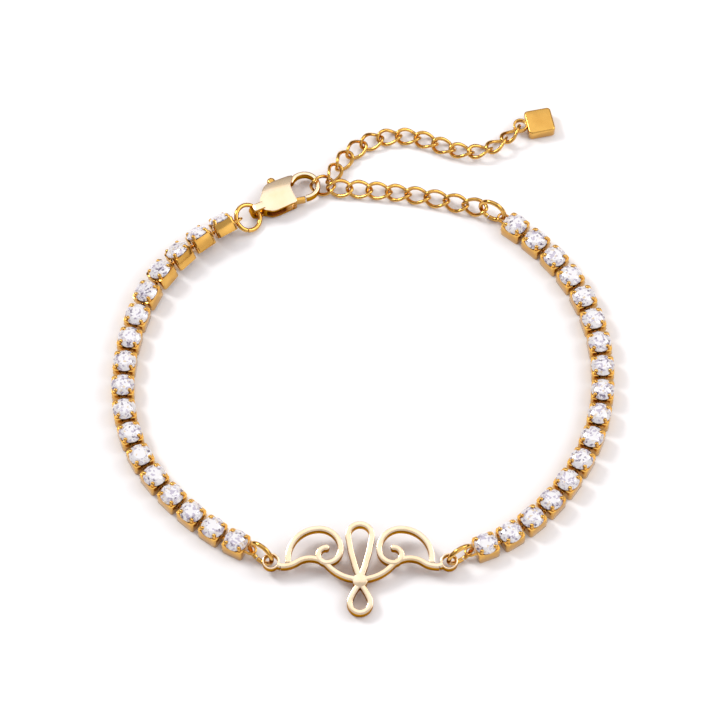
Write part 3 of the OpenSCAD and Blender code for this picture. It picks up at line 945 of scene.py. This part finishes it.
@dataclass
class Piece:
    """What every sub-assembly knows: the line that it lies on and the finishes."""

    layout: Layout
    finishes: Finishes

    def hand_over(self, piece: Work, metal: Metal, body: str, nodes: Sequence[str]) -> Work:
        """Bring a finished piece to metres, dress it and tie it to the solids that it shows.

        Args:
            piece: The piece, in millimetres in the bracelet's frame.
            metal: The slot of its gold; not used.
            body: The moving body that it rides on.
            nodes: The solids that it stands for.

        Returns:
            The same piece.
        """
        piece.scale = (MM, MM, MM)
        Bench.fix(piece)
        self.finishes.dress(piece, self.finishes.warm)
        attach(piece, body)
        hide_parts(*nodes)
        LOG.info("%s: %d faces", piece.name, len(piece.data.polygons))
        return piece

    def paint_lit_top_shaded_sides(self, piece: Work, up: Vector, share: float) -> Work:
        """Paint light and shade: give a piece's top the paler lit copy of the gold as painted highlight, and the
        rest of it the deeper shaded copy as painted shade.

        Args:
            piece: The piece.
            up: Unit vector out of its top.
            share: Least share of a face's normal along up that counts as top.

        Returns:
            The same piece.
        """
        self.finishes.dress(piece, self.finishes.pale, self.finishes.edge)
        with Bench.choose(piece, Part.FACE, lambda face: face.normal.dot(up) < share):
            piece.active_material_index = 1
            bpy.ops.object.material_slot_assign()
        return piece


@dataclass
class CupStrand(Piece):
    """One strand's cups with their claws, connectors and end bails."""

    side: Side = Side.LEFT
    claw_d: float = 0.54
    claw_h: float = 2.5
    claw_lean: float = 18.0
    claw_out: float = 0.02
    corner: float = 0.4
    dip: float = 0.6
    seat_gap: float = 0.04
    seat_depth: float = 1.3
    seat_h: float = 1.27
    edge: float = 0.06
    neck_d: float = 0.42
    head_d: float = 0.96
    head_t: float = 0.2
    neck_play: float = 0.15
    bail_root: float = 0.15
    bail_slack: float = 0.07

    def build(self) -> Work:
        """Build the strand and return it."""
        layout, sizes = self.layout, self.layout.sizes
        middle = self._cup(both_ends=True)
        end = self._cup(both_ends=False)
        parts = []
        last = sizes.stone_count - 1
        last_bail_h = sizes.axis_h if self.side is Side.LEFT else sizes.bail_h
        for index in range(sizes.stone_count):
            place = layout.cup(self.side, index)
            if index == 0:
                parts.append(Bench.copy(end, place))
                parts += self._bail(place @ turned(180, "Z"), sizes.bail_h)
            elif index == last:
                parts.append(Bench.copy(end, place @ turned(180, "Z")))
                parts += self._bail(place, last_bail_h)
            else:
                parts.append(Bench.copy(middle, place))
        Bench.discard(middle, end)
        half = sizes.cup_w / 2
        for index in range(last):
            start = layout.on_cup(self.side, index, half)
            parts += self._connector(start, layout.on_cup(self.side, index + 1, -half))
        strand = Bench.join(parts, f"cup_strand_{self.side.value}")
        Bench.smooth(strand, 40)
        return self.hand_over(strand, Metal.WARM, "bracelet", [f"settings_{self.side.value}"])

    def _cup(self, both_ends: bool) -> Work:
        """Model one cup with its claws.

        Args:
            both_ends: Whether both end walls have a hole and a dip, or only the one towards +X.

        Returns:
            The cup, with the middle of its base at the origin.
        """
        sizes = self.layout.sizes
        width, height = sizes.cup_w, sizes.cup_h
        cup = Bench.block(width, width, height, self.corner, 5)
        inner = width - 2 * sizes.cup_wall
        bore = Bench.block(inner, inner, height + 2, self.corner - sizes.cup_wall / 2, 3)
        bore = Bench.lay(bore, shifted(0, 0, -1))
        near = -width if both_ends else 0.0
        hole_d = self.neck_d + 2 * self.neck_play
        hole = Bench.rod(Vector((near, 0, sizes.axis_h)), Vector((width, 0, sizes.axis_h)), hole_d, 20)
        dip = Bench.rod(Vector((near, 0, height)), Vector((width, 0, height)), 2 * self.dip, 28)
        seat = Bench.start(
            bpy.ops.mesh.primitive_cone_add,
            vertices=40,
            radius1=0.0,
            radius2=sizes.stone_d / 2 + self.seat_gap,
            depth=self.seat_depth,
            location=(0, 0, self.seat_h),
        )
        Bench.cut(cup, bore, hole, dip, Bench.fix(seat))
        Bench.weld(cup, 0.003)
        Bench.soften(cup, self.edge, 2, 38)
        return Bench.join([cup, *(self._claw(45 + 90 * corner) for corner in range(4))], "cup")

    def _claw(self, turn: float) -> Work:
        """Model one claw that leans in over the stone at a turn about the cup's axis."""
        sizes, radius = self.layout.sizes, self.claw_d / 2
        foot = (sizes.cup_w / 2 - radius + self.claw_out) * math.sqrt(2)
        low = sizes.cup_h / 2
        reach = (self.claw_h - radius - low) / math.cos(math.radians(self.claw_lean))
        claw = Bench.start(bpy.ops.mesh.primitive_uv_sphere_add, segments=16, ring_count=10, radius=radius)
        with Bench.choose(claw, Part.POINT, lambda point: point.co.z < -0.001):
            bpy.ops.transform.translate(value=(0, 0, -reach))
        place = turned(turn, "Z") @ shifted(foot, 0, low) @ turned(-self.claw_lean, "Y")
        return Bench.lay(claw, place @ shifted(0, 0, reach))

    def _bail(self, cup: Matrix, height: float) -> list[Work]:
        """Model the bail on the end wall towards +X of a cup.

        Args:
            cup: The cup's frame.
            height: The bail's height on the wall.

        Returns:
            Its two legs and its round end.
        """
        sizes = self.layout.sizes
        half = (sizes.ring_wire + sizes.bail_wire) / 2 + sizes.ring_play
        past = sizes.ring_wire / 2 + sizes.ring_play + self.bail_slack + sizes.bail_wire / 2
        leg = sizes.bail_seat + past - half
        wall = cup @ shifted(sizes.cup_w / 2, 0, height)
        parts = []
        for across in (-half, half):
            start, end = Vector((-self.bail_root, across, 0)), Vector((leg, across, 0))
            parts.append(Bench.lay(Bench.rod(start, end, sizes.bail_wire), wall))
        bend = Bench.hoop(Bench.wire_profile(sizes.bail_wire), half, 12, 180.0)
        parts.append(Bench.lay(bend, wall @ shifted(leg) @ turned(-90, "Z")))
        return parts

    def _connector(self, start: Vector, end: Vector) -> list[Work]:
        """Model the riveted neck between the end walls of two cups."""
        along = (end - start).normalized()
        reach = self.layout.sizes.cup_wall + self.neck_play
        inner, outer = start - along * reach, end + along * reach
        neck = Bench.rod(inner, outer, self.neck_d)
        first = Bench.rod(inner - along * self.head_t, inner, self.head_d, 16)
        second = Bench.rod(outer, outer + along * self.head_t, self.head_d, 16)
        return [neck, first, second]


@dataclass
class JumpRing(Piece):
    """One open ring of round wire."""

    node: str = "ring_clasp"
    cut: float = 0.12
    edge: float = 0.03

    def build(self) -> Work:
        """Build the ring and return it."""
        sizes, pose = self.layout.sizes, self.layout.rings[self.node]
        half_cut = math.degrees(math.asin(self.cut / 2 / sizes.ring_r))
        ring = Bench.hoop(Bench.wire_profile(sizes.ring_wire, 18), sizes.ring_r, 5.5, 360 - 2 * half_cut)
        Bench.soften(ring, self.edge, 1, 60)
        ring = Bench.lay(ring, pose.frame(sizes.ring_r) @ turned(pose.turn.cut_at + half_cut, "Z"))
        ring = Bench.join([ring], f"jump_{self.node}")
        Bench.smooth(ring, 40)
        return self.hand_over(ring, Metal.WARM, "bracelet", [self.node])


@dataclass
class ScrollPlate(Piece):
    """The openwork plate: strokes of even width that run in arcs, mirrored about its middle.

    A stroke is its start in shares of the plate's width, its heading there in degrees, and the radius
    in shares of the width and the left-hand sweep in degrees of each of its arcs.
    """

    eye_r: float = 0.83
    eye_rim: float = 0.26
    eye_edge: float = 0.08
    edge: float = 0.11
    below: float = 0.02
    level_step: float = 0.002
    stud_over: float = 0.03
    knot: tuple[float, float] = (0.0, -0.113)
    knot_share: float = 1.35
    top_share: float = 0.6
    wave: Stroke = ((0.0, -0.105), 0, ((0.242, 48), (0.134, -82), (0.143, 38)))
    bud: Stroke = ((0.0, -0.3), 0, ((0.058, 112), (0.36, 22)))
    leaf: Stroke = ((0.0, 0.22), 0, ((0.067, -98), (1.08, -14)))
    scroll: Stroke = ((0.403, 0.0), 84, ((0.175, 96), (0.121, 90), (0.081, 90), (0.045, 180)))

    def build(self) -> Work:
        """Build the plate and return it."""
        sizes = self.layout.sizes
        half = []
        for level, stroke in enumerate((self.wave, self.bud, self.leaf, self.scroll)):
            half.append(self._stroke(stroke, level))
        stud_r = sizes.stroke_w / 2 + self.stud_over
        for centre in (Vector(self.scroll[0]) * sizes.plate_w, self._walk(*self.scroll)[1]):
            half.append(self._stud(centre, stud_r, 4))
        half.append(self._eye())
        half.append(self._tie())
        plate = Bench.join(half, "scroll_plate")
        Bench.modify(plate, "MIRROR", use_axis=(True, False, False), use_mirror_merge=False)
        knot = self._stud(Vector(self.knot) * sizes.plate_w, self.knot_share * sizes.stroke_w, 5)
        plate = Bench.lay(Bench.join([plate, knot], "scroll_plate"), self.layout.plate)
        Bench.smooth(plate, 35)
        plate = self.hand_over(plate, Metal.PALE, "bracelet", ["nameplate"])
        # The plate's top faces get painted highlight and its sides painted shade.
        return self.paint_lit_top_shaded_sides(plate, self.layout.plate.to_3x3() @ UP, self.top_share)

    def _height(self, level: int) -> float:
        """Return the thickness of what crosses the rest of the plate at a level."""
        return self.layout.sizes.plate_t - self.below + self.level_step * level

    def _walk(
        self, start: tuple[float, float], way: float, arcs: Pairs
    ) -> tuple[list[tuple[Vector, float]], Vector]:
        """Follow a stroke.

        Args:
            start: Its start.
            way: Its heading there.
            arcs: Its arcs.

        Returns:
            The centre and sweep of each arc, and the end point.
        """
        width = self.layout.sizes.plate_w
        here = Vector((start[0] * width, start[1] * width, 0))
        turns = []
        for share, sweep in arcs:
            radius = share * width * (1 if sweep > 0 else -1)
            centre = here + heading(way + 90) * radius
            turns.append((centre, sweep))
            way += sweep
            here = centre - heading(way + 90) * radius
        return turns, here

    def _stroke(self, stroke: Stroke, level: int) -> Work:
        """Sweep one stroke of the plate, a hair higher or lower than those that it crosses."""
        sizes, height = self.layout.sizes, self._height(level)
        start, way, _ = stroke
        profile = Bench.band_profile(sizes.stroke_w, height, self.edge)
        place = shifted(start[0] * sizes.plate_w, start[1] * sizes.plate_w, height / 2)
        profile = Bench.lay(profile, place @ turned(way - 90, "Z"))
        return Bench.sweep(profile, self._walk(*stroke)[0], 5.0)

    def _stud(self, centre: Vector, radius: float, level: int) -> Work:
        """Model a flat round stud that ends or joins strokes."""
        height = self._height(level)
        return Bench.disc(Vector((centre.x, centre.y, height / 2)), radius, height, self.edge, 2)

    def _tie(self) -> Work:
        """Model the short bar from the end of the wave to the rim of the right eye."""
        sizes, height = self.layout.sizes, self._height(2)
        start = self._walk(*self.wave)[1]
        along = Vector((sizes.plate_w / 2, 0, 0)) - start
        length = along.length - self.eye_r - self.eye_rim / 2
        tie = Bench.box((length, sizes.stroke_w, height), (length / 2, 0, height / 2))
        Bench.round_edges(tie, 0, self.edge, 2)
        return Bench.lay(tie, Matrix.Translation(start) @ turned(level_angle(along), "Z"))

    def _eye(self) -> Work:
        """Sweep the round eye at the right end."""
        height = self._height(0)
        profile = Bench.band_profile(self.eye_rim, height, self.eye_edge)
        centre = Vector((self.layout.sizes.plate_w / 2, 0, 0))
        return Bench.hoop(profile, self.eye_r + self.eye_rim / 2, 9.0, centre=centre, height=height / 2)


@dataclass
class LobsterClasp(Piece):
    """The clasp's case with its hook and eye, and the lever that closes the hook.

    Its lines and places are in shares of its reach and of its width.
    """

    plate: float = 0.55
    crown: tuple[float, float, float] = (9.0, 5.2, 3.0)
    crown_at: tuple[float, float] = (0.46, 0.15)
    case_edge: float = 0.07
    strap_w: float = 1.1
    strap_t: float = 0.46
    strap_edge: float = 0.12
    strap_leg: float = 0.9
    strap_inset: float = 0.02
    gate_gap: float = 0.15
    gate_w: float = 0.58
    hook_t: float = 1.0
    hook_edge: float = 0.17
    hook_start: float = 142.0
    hook_step: float = 0.5
    hub_bore: float = 0.35
    hub_r: float = 0.625
    hub_edge: float = 0.05
    arm_w: float = 0.78
    arm_start: float = 0.42
    bar_edge: float = 0.1
    lever_play: float = 0.05
    hair: float = 0.01
    tab_r: float = 0.55
    tab_edge: float = 0.3
    top_share: float = 0.9
    pivot_at: tuple[float, float] = (0.6, -0.15)
    tip_at: tuple[float, float] = (0.905, -0.265)
    thumb_at: tuple[float, float] = (0.48, 0.77)
    case_line: Pairs = (
        (0.085, -0.12), (0.16, -0.24), (0.25, -0.335), (0.4, -0.345), (0.6, -0.325), (0.7, -0.325),
        (0.73, -0.24), (0.725, 0.05), (0.75, 0.3), (0.83, 0.5), (0.87, 0.62), (0.8, 0.665),
        (0.62, 0.67), (0.4, 0.665), (0.28, 0.59), (0.19, 0.4), (0.085, 0.14),
    )
    slot_line: Pairs = ((0.14, -1), (1, -1), (1, 0.1), (0.7, 0.1), (0.62, 0.3), (0.62, 2), (0.14, 2))

    def _at(self, share_x: float, share_y: float) -> Vector:
        """Return a point of the clasp from shares of its reach and width."""
        return Vector((share_x * self.layout.sizes.clasp_reach, share_y * self.layout.sizes.case_w, 0))

    def _spline(self, steps: int) -> list[Vector]:
        """Return the case's outline as a smooth closed line of points."""
        points = [self._at(*share) for share in self.case_line]
        count = len(points)
        line = []
        for i in range(count):
            a, b, c, d = (points[(i + k) % count] for k in (-1, 0, 1, 2))
            for j in range(steps):
                t = j / steps
                line.append(
                    0.5 * (2 * b + (c - a) * t + (2 * a - 5 * b + 4 * c - d) * t**2
                           + (3 * b - a - 3 * c + d) * t**3)
                )
        return line

    @staticmethod
    def _slab(line: Sequence[Vector], low: float, high: float) -> Work:
        """Raise a slab on a closed outline between two heights."""
        circle = bpy.ops.mesh.primitive_circle_add
        slab = Bench.start(circle, vertices=len(line), radius=1, fill_type="NGON")
        for vertex, point in zip(slab.data.vertices, line):
            vertex.co = (point.x, point.y, low)
        with Bench.edit(slab):
            Bench.push_out((0, 0, high - low))
        Bench.face_out(slab)
        return slab

    def _case(self) -> Work:
        """Raise the case on its outline and crown both its faces with a wide low dome."""
        middle = self._at(*self.crown_at)
        thick = self.layout.sizes.case_t
        case = self._slab(self._spline(4), 0, thick)
        sphere = bpy.ops.mesh.primitive_uv_sphere_add
        for height in (thick - self.crown[2], self.crown[2]):
            place = (middle.x, middle.y, height)
            dome = Bench.start(sphere, segments=96, ring_count=72, radius=1, location=place, scale=self.crown)
            Bench.fix(dome)
            Bench.modify(case, "BOOLEAN", object=dome, operation="INTERSECT", solver="EXACT")
            Bench.discard(dome)
        return case

    def _strap(self) -> Work:
        """Bend the strap that runs from the case round the jump ring's wire and back."""
        thick = self.layout.sizes.case_t
        profile = Bench.band_profile(self.strap_t, self.strap_w, self.strap_edge, 3)
        strap = Bench.hoop(profile, (thick - self.strap_t) / 2 - self.strap_inset, 10.0, 180.0)
        with Bench.choose(
            strap, Part.FACE, lambda face: face.normal.y < -0.99 and abs(face.center.y) < 0.001
        ):
            Bench.push_out((0, -self.strap_leg, 0))
        Bench.face_out(strap)
        return Bench.lay(strap, shifted(0, 0, thick / 2) @ turned(90, "X") @ turned(90, "Z"))

    def _hook(self) -> Work:
        """Sweep the hook from the case round to where the gate meets it."""
        sizes = self.layout.sizes
        pivot = self._at(*self.pivot_at)
        centre = self._at(1.0, sizes.hook_side)
        radius = (sizes.hook_d - sizes.hook_w) / 2
        reach = (self._at(*self.tip_at) - pivot).length + self.gate_gap
        end = self.hook_start
        while (centre + heading(end) * radius - pivot).length > reach or end > 0:
            end -= self.hook_step
        profile = Bench.band_profile(sizes.hook_w, self.hook_t, self.hook_edge, 3)
        place = Matrix.Translation(centre + heading(self.hook_start) * radius + UP * sizes.case_t / 2)
        profile = Bench.lay(profile, place @ turned(self.hook_start, "Z"))
        return Bench.sweep(profile, [(centre, end - self.hook_start)], 5.0)

    def build_body(self) -> Work:
        """Build the case, hook and eye and return them as one piece."""
        case = self._case()
        line = [self._at(*share) for share in self.slot_line]
        Bench.cut(case, self._slab(line, self.plate, self.layout.sizes.case_t - self.plate))
        Bench.weld(case, 0.003)
        Bench.soften(case, self.case_edge, 3, 50)
        body = Bench.join([case, self._hook(), self._strap()], "clasp_case")
        body = Bench.lay(body, self.layout.clasp)
        Bench.smooth(body, 32)
        body = self.hand_over(body, Metal.WARM, "bracelet", ["clasp_body"])
        # The case's top faces get painted highlight and the rest of it painted shade.
        return self.paint_lit_top_shaded_sides(body, UP, self.top_share)

    def _bar(self, start: Vector, end: Vector, width: float, height: float) -> Work:
        """Model a level bar with softened edges between two points."""
        along = end - start
        bar = Bench.soften(Bench.box((along.length, width, height)), self.bar_edge, 3)
        return Bench.lay(bar, Matrix.Translation((start + end) / 2) @ turned(level_angle(along), "Z"))

    def build_lever(self) -> Work:
        """Build the lever and return it."""
        thick = self.layout.sizes.case_t
        height = thick - 2 * (self.plate + self.lever_play)
        pivot, tip, thumb = (
            self._at(*share) + UP * thick / 2 for share in (self.pivot_at, self.tip_at, self.thumb_at)
        )
        to_tip, to_thumb = (tip - pivot).normalized(), (thumb - pivot).normalized()
        rim = self.hub_r - self.hub_bore
        hub = Bench.hoop(Bench.band_profile(rim, height, self.hub_edge), self.hub_r - rim / 2, 12.0)
        hub = Bench.lay(hub, Matrix.Translation(pivot))
        gate_start, gate_end = pivot + to_tip * self.arm_start, tip - to_tip * self.hair
        gate = self._bar(gate_start, gate_end, self.gate_w, height - self.hair)
        arm = self._bar(pivot + to_thumb * self.arm_start, thumb, self.arm_w, height - 2 * self.hair)
        tab = Bench.disc(thumb, self.tab_r, height, self.tab_edge, 4)
        lever = Bench.lay(Bench.join([hub, gate, arm, tab], "lever"), self.layout.clasp)
        Bench.smooth(lever, 35)
        return self.hand_over(lever, Metal.WARM, "clasp_lever", ["clasp_lever"])


@dataclass
class CurbRun(Piece):
    """A run of twisted links that pass through each other."""

    node: str = "chain_main"
    links: Sequence[Link] = ()
    first: Link | None = None

    def build(self) -> Work:
        """Build the run and return it."""
        sizes = self.layout.sizes
        parts = [self._link(link, sizes.link_w) for link in self.links]
        if self.first is not None:
            parts.append(self._link(self.first, sizes.first_link_w))
        run = Bench.join(parts, f"links_{self.node}")
        Bench.smooth(run, 60)
        return self.hand_over(run, Metal.WARM, "bracelet", [self.node])

    def _link(self, link: Link, width: float) -> Work:
        """Bend one link: a stretched ring of wire, twisted along its length.

        Args:
            link: Its two joints and its roll in degrees.
            width: Its outer width.

        Returns:
            The link in its place.
        """
        sizes, wire = self.layout.sizes, self.layout.sizes.link_wire
        start, end, roll = link
        along = end - start
        long_half = (along.length + wire + sizes.link_play) / 2
        wide_half = (width - wire) / 2
        ring = Bench.start(bpy.ops.curve.primitive_bezier_circle_add, radius=wide_half)
        ring.scale = (long_half / wide_half, 1, 1)
        Bench.fix(ring)
        ring.data.bevel_depth = wire / 2
        ring.data.bevel_resolution = 2
        ring.data.resolution_u = 9
        bpy.ops.object.convert(target="MESH")
        ring = bpy.context.object
        twist = math.radians(-2 * sizes.link_twist * (2 * long_half + wire) / (2 * long_half))
        Bench.modify(ring, "SIMPLE_DEFORM", deform_method="TWIST", deform_axis="X", angle=twist)
        place = Layout.upright((start + end) / 2, along.normalized())
        return Bench.lay(ring, place @ turned(roll, "X"))


@dataclass
class Tag(Piece):
    """The bare rounded tag with its eye."""

    length: float = 3.6
    width: float = 3.6
    height: float = 1.6
    corner: float = 0.5
    edge: float = 0.2
    rim: float = 0.28
    eye_t: float = 0.7
    eye_edge: float = 0.09

    def build(self) -> Work:
        """Build the tag and return it."""
        eye_r = self.layout.sizes.tag_eye_r + self.rim / 2
        block = Bench.block(self.length, self.width, self.height, self.corner, 6)
        Bench.soften(block, self.edge, 4, 60)
        block = Bench.lay(block, shifted(eye_r + self.length / 2))
        profile = Bench.band_profile(self.rim, self.eye_t, self.eye_edge)
        eye = Bench.hoop(profile, eye_r, 10.0, height=self.layout.tag_eye_height)
        tag = Bench.lay(Bench.join([block, eye], "bare_tag"), self.layout.tag)
        Bench.smooth(tag, 35)
        return self.hand_over(tag, Metal.WARM, "bracelet", ["tag"])


@dataclass
class KeptSolids:
    """The stones and the lever's pin, which show as they are."""

    finishes: Finishes

    def dress(self) -> None:
        """Give the kept solids their finishes."""
        stones = [piece for piece in bpy.data.objects if piece.name.startswith("stone_")]
        for stone in stones:
            self.finishes.dress(stone, self.finishes.clear)
        for piece in bpy.data.objects:
            if piece.name.startswith("clasp_pin"):
                self.finishes.dress(piece, self.finishes.warm)
        LOG.info("stones dressed: %d", len(stones))


# The studio


@dataclass(frozen=True)
class SoftBox:
    """One square soft light."""

    name: str
    at: tuple[float, float, float]
    size: float
    watts: float

    def hang(self, target: Vector) -> None:
        """Hang the light and turn it to a point."""
        light = Bench.start(bpy.ops.object.light_add, type="AREA", location=self.at)
        light.name = self.name
        light.data.shape = "SQUARE"
        light.data.size = self.size
        light.data.energy = self.watts
        light.rotation_euler = (target - Vector(self.at)).to_track_quat("-Z", "Y").to_euler()


@dataclass
class Studio:
    """Table, lights, room and camera, in metres."""

    aim: tuple[float, float] = (-0.39 * MM, -0.33 * MM)
    elevation: float = 61.5
    distance: float = 0.520
    pixels_per_mm: float = 7.75
    picture_pixels: float = 720.0
    film_mm: float = 36.0
    nearest: float = 0.01
    table_size: float = 3.0
    table_drop: float = 0.00002
    wall: Colour = (0.20, 0.11, 0.05)
    sky: Colour = (0.97, 0.94, 0.98)
    wall_end: float = 0.36
    sky_start: float = 0.60
    wave_scale: float = 2.6
    wave_share: float = 0.45
    room_light: float = 0.62
    lights: tuple[SoftBox, ...] = (
        SoftBox("top_light", (0.0, 0.21, 0.50), 0.46, 0.46),
        SoftBox("key_light", (-0.34, 0.20, 0.38), 0.16, 1.4),
        SoftBox("fill_light", (0.38, 0.10, 0.34), 0.30, 0.9),
        SoftBox("front_light", (0.30, -0.30, 0.19), 0.40, 0.40),
    )

    def build(self) -> None:
        """Set the table, hang the lights and place the camera."""
        self._table()
        for light in self.lights:
            light.hang(ORIGIN)
        self._room()
        self._camera()
        bpy.context.scene.view_settings.view_transform = "Standard"

    def _table(self) -> None:
        """Lay the pale table under the bracelet."""
        table = Bench.start(
            bpy.ops.mesh.primitive_grid_add,
            x_subdivisions=8,
            y_subdivisions=8,
            size=self.table_size,
            location=(0, 0, -self.table_drop),
        )
        table.name = "table"
        Bench.fix(table)
        table.data.materials.append(TableFinish().make())

    def _room(self) -> None:
        """Fill the room with light from above that falls off to dark walls."""
        world = bpy.data.worlds.new("room")
        bpy.context.scene.world = world
        nodes = Nodes(world)
        place = nodes.add("TexCoord")["Generated"]
        waves = nodes.add("TexNoise", Vector=place, Scale=self.wave_scale, Detail=1.0)["Fac"]
        height = nodes.add("SeparateXYZ", Vector=place)["Z"]
        blend = nodes.add("Mix", Factor=self.wave_share, A=height, B=waves)["Result"]
        colour = nodes.ramp(blend, ((self.wall_end, self.wall), (self.sky_start, self.sky)))
        nodes.feed(nodes.tree.nodes["Background"], Color=colour, Strength=self.room_light)

    def _camera(self) -> None:
        """Place the camera at the photograph's angle."""
        rise = math.radians(self.elevation)
        target = Vector((*self.aim, 0))
        at = target + Vector((0, -self.distance * math.cos(rise), self.distance * math.sin(rise)))
        camera = Bench.start(bpy.ops.object.camera_add, location=at)
        camera.name = "camera"
        camera.data.sensor_width = self.film_mm
        camera.data.lens = self.film_mm * self.pixels_per_mm * self.distance / MM / self.picture_pixels
        camera.data.clip_start = self.nearest
        camera.rotation_euler = (target - at).to_track_quat("-Z", "Y").to_euler()
        bpy.context.scene.camera = camera


def main() -> None:
    """Build the bracelet piece by piece and set the studio around it."""
    logging.basicConfig(level=logging.INFO, format="%(name)s: %(message)s")
    layout = Layout()
    finishes = Finishes()
    Studio().build()
    KeptSolids(finishes).dress()
    for side in Side:
        CupStrand(layout, finishes, side=side).build()
    for node in layout.rings:
        JumpRing(layout, finishes, node=node).build()
    ScrollPlate(layout, finishes).build()
    clasp = LobsterClasp(layout, finishes)
    clasp.build_body()
    clasp.build_lever()
    CurbRun(layout, finishes, node="chain_main", links=layout.main_links, first=layout.first_link).build()
    CurbRun(layout, finishes, node="chain_tail", links=layout.tail_links).build()
    Tag(layout, finishes).build()


if __name__ == "__main__":
    main()
